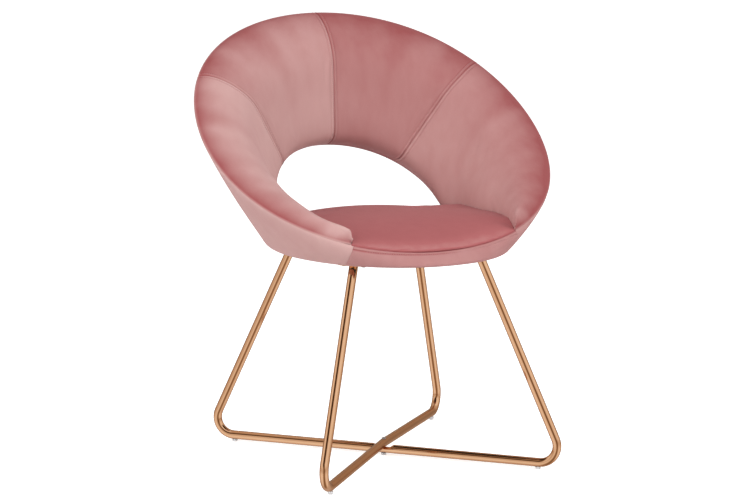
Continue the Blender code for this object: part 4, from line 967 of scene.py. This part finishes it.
# %% Seat pad
SEAT_TOP = BASE_HEIGHT + 0.061
SEAT_SIDE = BASE_HEIGHT + 0.056
SEAT_REAR = Z_BAND + 0.002
SEAT_GRID = 97
WALL_SHARE = 0.90  # share at which the crown turns into the wall
SEAT_GAP = -0.0006  # clearance round the crown
SEAT_SLOPE, SIDE_SLOPE, REAR_SLOPE = 0.012, 0.004, 0.022  # how far the wall slopes in, at least at the sides
SEAT_FOOT = Z_FLOOR + 0.001
DOME_POWER, DOME_ROOT = 2.4, 0.8
# base shade of the seat, a painted highlight along its front edge and painted shade on its wall
SEAT_SHADE, FRONT_PAINTED_HIGHLIGHT, WALL_PAINTED_SHADE = 0.31, 0.30, 0.40
SEAT_PUFF, SEAT_HELD = 0.004, 0.85  # longest move of the puffed crown, and the share where it is held
RING = np.linspace(-math.pi, math.pi, 1441)  # directions seen from the middle of the seat
TO_SIDE, TO_REAR = np.radians([[41.0, 54.0], [108.0, 134.0]])  # directions in which the edge rises and falls


def seat_height(turn):
    """Height of the crown's edge in a direction: rim at the front, up along the arms, down at the back."""
    arc = rim(np.linspace(0.0, FRONT_SEAM, 80))
    front = np.interp(turn, bearing(arc), arc[:, 2])
    to_side, to_rear = smooth(turn, *TO_SIDE), smooth(turn, *TO_REAR)
    return (front * (1 - to_side) + SEAT_SIDE * to_side) * (1 - to_rear) + SEAT_REAR * to_rear


def arm_at(face, height):
    """Points of the arm's inner face at given heights, by straight interpolation between its rows."""
    crown = np.argmax(face[..., 2], axis=1)
    past = (face[..., 2] < height[:, None]) & (np.arange(FACE_ROWS) > crown[:, None])
    past &= face[..., 2].max(axis=1, keepdims=True) > height[:, None] + 0.001
    hit, rows = np.argmax(past, axis=1), np.arange(len(face))
    a, b = face[rows, hit - 1], face[rows, hit]
    share = (a[:, 2] - height) / (a[:, 2] - b[:, 2] + 1e-9)
    return a + (b - a) * share[:, None], past.any(axis=1)


def bearing(points):
    """Direction seen from the middle of the seat, 0 to the front."""
    return np.arctan2(points[:, 0], -points[:, 1])


def reach(points):
    """Level distance from the middle of the seat."""
    return np.hypot(points[:, 0], points[:, 1])


def seat_edges():
    """Right half of the outline: direction, reach and height of the crown's edge, reach of the lower edge."""
    theta = np.linspace(0.0, FRONT_SEAM, 80)
    front = np.column_stack([rim(theta)[:, :2], SEAT_SLOPE + 0 * theta])
    y = np.linspace(front[-1, 1] + 0.004, -0.075, 60)
    wall = np.column_stack([inner_wall(y), y, SEAT_SLOPE + 0 * y])
    face = arm_loops[:, :FACE_ROWS]
    across, found = arm_at(face, np.full(len(face), SEAT_SIDE))
    for _ in range(3):
        across, found = arm_at(face, seat_height(bearing(across)))
    slope = np.maximum(reach(across) - reach(face[:, -1]), SIDE_SLOPE)
    side = np.column_stack([across[:, :2], slope])[found & (across[:, 1] > -0.070)]
    theta = np.linspace(HOLE_CORNER, math.pi, 200)
    rear = shell(theta, fall_to(theta, Z_BAND, CORE_OUT), CORE_OUT)
    rear = np.column_stack([rear[:, :2], REAR_SLOPE + 0 * theta])
    rear = rear[bearing(rear) > bearing(side)[-1] + 0.05]
    line = np.concatenate([front, wall, side, rear])
    turn, wide = bearing(line), reach(line) - SEAT_GAP
    return turn, wide, seat_height(turn), wide - line[:, 2]


def seat_ring():
    """Outline all round at even directions, with its corners softened by a short running mean."""
    turn, *values = seat_edges()
    order = np.argsort(turn)
    ring = np.stack([np.interp(np.abs(RING), turn[order], v[order]) for v in values], -1)
    kernel = np.hanning(13)[1:-1] / np.hanning(13).sum()
    padded = np.concatenate([ring[-21:-1], ring, ring[1:21]])
    return np.stack([np.convolve(padded[:, k], kernel, "same")[20:-20] for k in range(3)], -1)


def disc_grid(count):
    """Square grid bent into a disc: u times the root of one minus half v squared, and the same for v."""
    u, v = np.meshgrid(np.linspace(-1.0, 1.0, count), np.linspace(-1.0, 1.0, count), indexing="ij")
    x = u * np.sqrt(1 - v * v / 2)
    y = v * np.sqrt(1 - u * u / 2)
    return np.hypot(x, y), np.arctan2(x, -y)


def seat_points():
    """Crown: edge plus the remaining height times a soft dome of the share; wall: down and in to its foot.

    The underside is flat, and its reach is the share of the foot's.
    """
    share, angle = disc_grid(SEAT_GRID)
    ring = seat_ring()
    wide, edge, low = (np.interp(angle, RING, ring[:, k]) for k in range(3))
    crown = np.clip(share / WALL_SHARE, 0.0, 1.0)
    wall = np.clip((share - WALL_SHARE) / (1 - WALL_SHARE), 0.0, 1.0)
    z = edge + (SEAT_TOP - edge) * (1 - crown ** DOME_POWER) ** DOME_ROOT
    z = z + (SEAT_FOOT - edge) * wall
    radius = wide * crown + (low - wide) * wall
    towards = np.stack([np.sin(angle), -np.cos(angle)], -1)
    top = np.concatenate([radius[..., None] * towards, z[..., None]], -1)
    flat = np.concatenate([(low * share)[..., None] * towards, 0 * z[..., None] + SEAT_FOOT], -1)
    return top, flat, share, angle


def add_seat():
    """Crown and wall from the disc, closed below by the same disc laid flat."""
    top, low, share, angle = seat_points()
    edge = np.zeros(share.shape, bool)
    edge[0], edge[-1], edge[:, 0], edge[:, -1] = True, True, True, True
    ids = np.arange(share.size).reshape(share.shape)
    low_ids = share.size + ids
    low_ids[edge] = ids[edge]
    points = drawn_over(np.concatenate([top.reshape(-1, 3), low.reshape(-1, 3)]), *PAD_DRAWN)
    faces = np.concatenate([quads(ids), quads(low_ids)[:, ::-1]])
    if volume(points, faces) < 0:
        faces = faces[:, ::-1]
    # painted highlight along the front edge of the crown, and painted shade on the wall below it
    front = smooth(0.5 + 0.5 * np.cos(angle), 0.72, 0.97)
    nap_and_painted_light = SEAT_SHADE + FRONT_PAINTED_HIGHLIGHT * smooth(share, 0.70, 0.88) * front
    nap_and_painted_light = nap_and_painted_light - WALL_PAINTED_SHADE * smooth(share, 0.885, WALL_SHARE)
    seat, used = add_used("seat_pad", points, faces, np.tile(nap_and_painted_light.ravel(), 2))
    seat.data.materials.append(seat_velvet)
    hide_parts("seat_cover", "seat_foam")
    puffed(seat, (used >= share.size) | (np.tile(share.ravel(), 2)[used] > SEAT_HELD), SEAT_PUFF)
    return seat


seat = add_seat()
print("points of the seat:", len(seat.data.vertices))

# %% [markdown]
# ## Topstitches
# Both sides of the seams in the back are topstitched, and so is the band below the front edge. A stitch is a
# short thread that dips into the cloth at both ends. One low-poly thread is worked out once, and adding the
# places and directions of all stitches as a further axis copies it along a seam without a loop over points.

# %% Topstitches
STITCH_PITCH, STITCH_LENGTH, STITCH_RADIUS = 0.0042, 0.0031, 0.00036
STITCH_SIDES = 6
# share of the length and of the radius at each ring of a thread
STITCH_RINGS = np.array([[-0.50, 0.25], [-0.40, 0.80], [-0.15, 1.0], [0.15, 1.0], [0.40, 0.80], [0.50, 0.25]])


def make_thread(name):
    """Spun thread: fine noise between two pinks, and the same noise as its twist."""
    mat, tree, shader = new_material(name, Roughness=0.55)
    twist = noise(tree, 2600.0, 1.0, object_place(tree))
    feed(tree, shader, {"Base Color": mix_node(tree, twist, (0.34, 0.13, 0.13), (0.52, 0.27, 0.26))})
    add_bump(tree, shader, twist, 0.0002, 0.5)
    return mat


def stitch_row(line, normals):
    """Threads along a line: place plus length along it plus a circle of the ring's radius, sunk at the ends."""
    lengths = line_lengths(line[None])
    count = int(lengths[0, -1] / STITCH_PITCH)
    spots = (0.5 + np.arange(count)) * STITCH_PITCH
    both = look_up(lengths, np.concatenate([line, normals], -1)[None], spots[None])[0]
    place, up = both[:, :3], unit(both[:, 3:])
    ahead = unit(np.gradient(place, axis=0))
    side = np.cross(up, ahead)
    a = np.linspace(0.0, 2 * math.pi, STITCH_SIDES, endpoint=False)
    share, width = STITCH_RINGS[:, 0, None], STITCH_RINGS[:, 1, None]
    along = STITCH_LENGTH * share + 0 * a
    across = STITCH_RADIUS * width * np.cos(a)
    above = STITCH_RADIUS * (width * np.sin(a) + 0.6 - 4.0 * share ** 2)
    ways = zip((ahead, side, up), (along, across, above))
    return place[:, None, None] + sum(way[:, None, None] * by[None, ..., None] for way, by in ways)


def add_stitches(name, rows):
    """All rows of stitches as one mesh: a tube of quads for each thread, and a face at each end."""
    grid = np.concatenate(rows)
    each = STITCH_SIDES * len(STITCH_RINGS)
    ids = np.arange(each).reshape(len(STITCH_RINGS), STITCH_SIDES)
    start = each * np.arange(len(grid))[:, None, None]
    tubes = (quads(ids, wrap=True)[None] + start).reshape(-1, 4)
    caps = (np.stack([ids[0, ::-1], ids[-1]])[None] + start).reshape(-1, STITCH_SIDES)
    points = grid.reshape(-1, 3)
    if volume(points, tubes) < 0:
        tubes, caps = tubes[:, ::-1], caps[:, ::-1]
    piece = add_piece(name, points, tubes.tolist() + caps.tolist())
    piece.data.materials.append(thread)
    return piece


thread = make_thread("pink_thread")
seam_rows = []
for loops, normals, column in ((arm_loops, arm_normals, -1 - STITCH_COLUMN),
                               (back_loops, back_normals, STITCH_COLUMN),
                               (back_loops, back_normals, -1 - STITCH_COLUMN)):
    line, up = loops[column, 3:FACE_ROWS - 2], normals[column, 3:FACE_ROWS - 2]
    seam_rows += [stitch_row(line, up), stitch_row(mirror_x(line), mirror_x(up))]
back_stitches = add_stitches("back_topstitches", seam_rows)
front_angles = np.linspace(-FRONT_SEAM + 0.02, FRONT_SEAM - 0.02, 240)
front_line = drawn_over(shell(front_angles, FRONT_STITCH / slant(front_angles), FRONT_GROOVE), *COVER_DRAWN)
front_stitches = add_stitches("front_topstitches", [stitch_row(front_line, -side_frame(front_angles)[2])])
print("faces of the stitches:", len(back_stitches.data.polygons) + len(front_stitches.data.polygons))

# %% [markdown]
# ## Copper legs
# Each leg frame is one tube, bent twice and laid across the other. A circle carried along a rounded path
# gives it: the path lies in an upright plane, so one direction of the circle never turns. The lower tube is
# pressed flat where the upper one crosses, and both are cut level under their plates.

# %% Tubes
TUBE, BEND_RADIUS, FOOT_REACH, LEG_TOP_REACH = 0.016, 0.032, 0.3434, 0.17601
LOW_CENTRE, HIGH_CENTRE, LEG_TOP = 0.0123, 0.0231, 0.3821
CROSS_DENT, DENT_LENGTH, CROSS_BEND = 0.0055, 0.020, 0.240
TUBE_SIDES, BEND_STEPS = 40, 18


def rounded_path(corners, radii):
    """Corner points joined by straights, each inner corner replaced by an arc of its radius."""
    path = [corners[:1]]
    for before, here, after, radius in zip(corners[:-2], corners[1:-1], corners[2:], radii):
        a, b = unit(before - here), unit(after - here)
        turn = math.acos(float(np.clip(a @ b, -1.0, 1.0)))
        back = radius / math.tan(turn / 2)
        centre = here + unit(a + b) * (radius / math.sin(turn / 2))
        sweep = math.pi - turn
        t = np.linspace(0.0, 1.0, BEND_STEPS)[:, None]
        first, last = here + a * back - centre, here + b * back - centre
        mix = first * np.sin((1 - t) * sweep) + last * np.sin(t * sweep)
        path.append(centre + mix / math.sin(sweep))
    path.append(corners[-1:])
    return np.concatenate(path)


def tube_points(path, across):
    """Circles on a path that lies in a plane: radius times cosine across the plane plus sine within it."""
    ahead = unit(np.gradient(path, axis=0))
    over = np.cross(across, ahead)
    a = np.linspace(0.0, 2 * math.pi, TUBE_SIDES, endpoint=False)[:, None]
    return path[:, None] + TUBE / 2 * (np.cos(a) * across + np.sin(a) * over[:, None])


def add_leg_frame(name, along, crossing, dent):
    """Leg, bend, floor run over the crossing, bend and leg, cut level at the plates."""
    along = np.array([*along, 0.0])
    up = np.array([0.0, 0.0, 1.0])
    foot = along * FOOT_REACH
    top = along * LEG_TOP_REACH + up * LEG_TOP
    low = up * LOW_CENTRE
    corners = [-along * LEG_TOP_REACH + up * LEG_TOP, -foot + low]
    radii = [BEND_RADIUS]
    if crossing > LOW_CENTRE:
        corners.append(up * crossing)
        radii.append(CROSS_BEND)
    corners += [foot + low, top]
    path = rounded_path(np.array(corners), radii + [BEND_RADIUS])
    if dent:
        middle = len(path) // 2
        extra = np.linspace(-1.5, 1.5, 25)[:, None] * DENT_LENGTH * along + low
        path = np.concatenate([path[:middle], extra, path[middle:]])
    rings = tube_points(path, np.cross(up, along))
    if dent:
        above = np.maximum(rings[..., 2] - LOW_CENTRE, 0.0) / (TUBE / 2)
        near = smooth(DENT_LENGTH - np.abs(rings @ along), 0.0, DENT_LENGTH / 2)
        rings[..., 2] -= CROSS_DENT * above * near * (np.abs(path[:, 2:] - LOW_CENTRE) < 1e-6)
    for end, inner in ((0, 1), (-1, -2)):
        way = unit(path[end] - path[inner])
        rings[end] += way * ((LEG_TOP - rings[end, :, 2]) / way[2])[:, None]
    tube = loft(name, rings)
    tube.data.set_sharp_from_angle(angle=math.radians(50.0))
    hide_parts("leg_frame_" + name.split("_")[-1])
    return tube


DIAGONAL = math.sqrt(0.5)
tubes = [add_leg_frame("copper_tube_lower", (DIAGONAL, -DIAGONAL), LOW_CENTRE, True),
         add_leg_frame("copper_tube_upper", (DIAGONAL, DIAGONAL), HIGH_CENTRE, False)]
print("tubes:", [t.name for t in tubes])

# %% [markdown]
# ## Dust sheet
# Under the board a thin black cloth closes the chair. It is stretched under the plates of the legs and stapled
# round its edge, so it hangs a little in the middle and shows small pulls at the edge between the plates.

# %% Dust sheet
DUST_WIDE, DUST_DEEP, DUST_THICK = 0.189, 0.212, 0.0008
DUST_TOP = 0.3866
DUST_SAG, DUST_PULLS = 0.0040, 0.0006
DUST_GRID, DUST_STAPLES, DUST_HELD = 61, 44, 0.62  # the last is the share inside which it hangs free


def add_dust_sheet():
    """Oval disc, lowered by a fourth-power dome in the middle and by cosine waves near the edge."""
    share, angle = disc_grid(DUST_GRID)
    between = np.cos(2 * angle) ** 2
    pulls = DUST_PULLS * (0.5 + 0.5 * np.cos(DUST_STAPLES * angle)) * smooth(share, DUST_HELD, 0.9) * between
    z = DUST_TOP - DUST_SAG * np.clip(1 - (share / DUST_HELD) ** 2, 0.0, None) ** 2 - pulls
    grid = np.stack([DUST_WIDE * share * np.sin(angle), -DUST_DEEP * share * np.cos(angle), z], -1)
    ids = np.arange(share.size).reshape(share.shape)
    piece = add_piece("dust_sheet_cloth", grid.reshape(-1, 3), quads(ids).tolist())
    thicken(piece, DUST_THICK, -1.0 if piece.data.polygons[0].normal.z > 0 else 1.0)
    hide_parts("dust_sheet")
    return piece


dust_sheet = add_dust_sheet()
print("points of the dust sheet:", len(dust_sheet.data.vertices))

# %% [markdown]
# ## Plated metal, clear plastic, wood and cloth
# The tube is steel with a polished copper-coloured plating: a mirror with a faint orange peel and a few
# smudges. The welded plates were plated with it. Their bolts are black, and the other fixings are zinc-plated,
# with dull patches. The glides are clear, slightly cloudy buttons. Under the seat there is plywood and a black
# non-woven cloth. One group gives metals and glides their clouds.

# %% Other materials
def make_patina_group():
    """Large and fine clouds: a mask, a roughness and a height."""
    tree, given, made = make_group("plating_wear", [("Smooth", "Float"), ("Spread", "Float")],
                                   [("Mask", "Float"), ("Roughness", "Float"), ("Height", "Float")])
    clouds, fine = noise(tree, 24.0, 3.0, given["Vector"]), noise(tree, 420.0, 2.0, given["Vector"])
    mask = math_node(tree, "MULTIPLY_ADD", clouds, 0.8, math_node(tree, "MULTIPLY", fine, 0.2))
    rough = math_node(tree, "MULTIPLY_ADD", mask, given["Spread"], given["Smooth"])
    feed(tree, made, {"Mask": mask, "Roughness": rough, "Height": fine})
    return tree


def make_worn(name, dark, pale, smoothest, spread, bump=None, **settings):
    """Material whose colour, roughness and height come from the wear group."""
    mat, tree, shader = new_material(name, **settings)
    wear = place_group(tree, patina_group, {"Smooth": smoothest, "Spread": spread})
    feed(tree, shader, {"Base Color": mix_node(tree, wear["Mask"], dark, pale), "Roughness": wear["Roughness"]})
    if bump:
        add_bump(tree, shader, wear["Height"], 0.0002, bump)
    return mat


def make_wood(name):
    """Plywood: noise stretched along X as grain between two browns."""
    mat, tree, shader = new_material(name, Roughness=0.7)
    grain = noise(tree, 1.0, 4.0, stretched(tree, (6.0, 90.0, 90.0)))
    feed(tree, shader, {"Base Color": mix_node(tree, grain, (0.36, 0.22, 0.11), (0.66, 0.48, 0.29))})
    add_bump(tree, shader, grain, 0.0003, 0.3)
    return mat


def make_dust_cloth(name):
    """Non-woven cloth: dense fine noise between black and dark grey, pressed in a dotted pattern."""
    mat, tree, shader = new_material(name, Roughness=0.95)
    place = object_place(tree)
    dots = add_node(tree, "TexVoronoi", {"Scale": 420.0, "Vector": place}).outputs["Distance"]
    fuzz = noise(tree, 700.0, 3.0, place)
    feed(tree, shader, {"Base Color": mix_node(tree, fuzz, (0.008, 0.008, 0.009), (0.05, 0.05, 0.055))})
    add_bump(tree, shader, dots, 0.0004, 0.6)
    return mat


patina_group = make_patina_group()
copper = make_worn("copper_plating", (0.56, 0.275, 0.125), (0.72, 0.385, 0.195), 0.06, 0.10, 0.02, Metallic=1.0)
black_zinc = make_worn("black_zinc", (0.045, 0.045, 0.048), (0.10, 0.10, 0.105), 0.30, 0.25, 0.08, Metallic=1.0)
zinc = make_worn("zinc_plating", (0.42, 0.42, 0.43), (0.66, 0.66, 0.67), 0.22, 0.25, 0.08, Metallic=1.0)
clear_plastic = make_worn("clear_plastic", (0.88, 0.90, 0.94), (0.97, 0.98, 0.99), 0.08, 0.25,
                          Transmission_Weight=0.45, IOR=1.49)
plywood = make_wood("birch_plywood")
dust_cloth = make_dust_cloth("black_dust_cloth")
for tube in tubes:
    tube.data.materials.append(copper)
dust_sheet.data.materials.append(dust_cloth)
NODE_FINISH = {"leg_plate": copper, "leg_bolt": black_zinc, "t_nut": zinc, "shell_screw": zinc,
               "cross_bolt": zinc, "glide": clear_plastic, "seat_board": plywood, "shell_core": plywood}
for name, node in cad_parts.items():
    for start, finish in NODE_FINISH.items():
        if name.startswith(start):
            node.data.materials.clear()
            node.data.materials.append(finish)
print("finished solids:", len(NODE_FINISH))
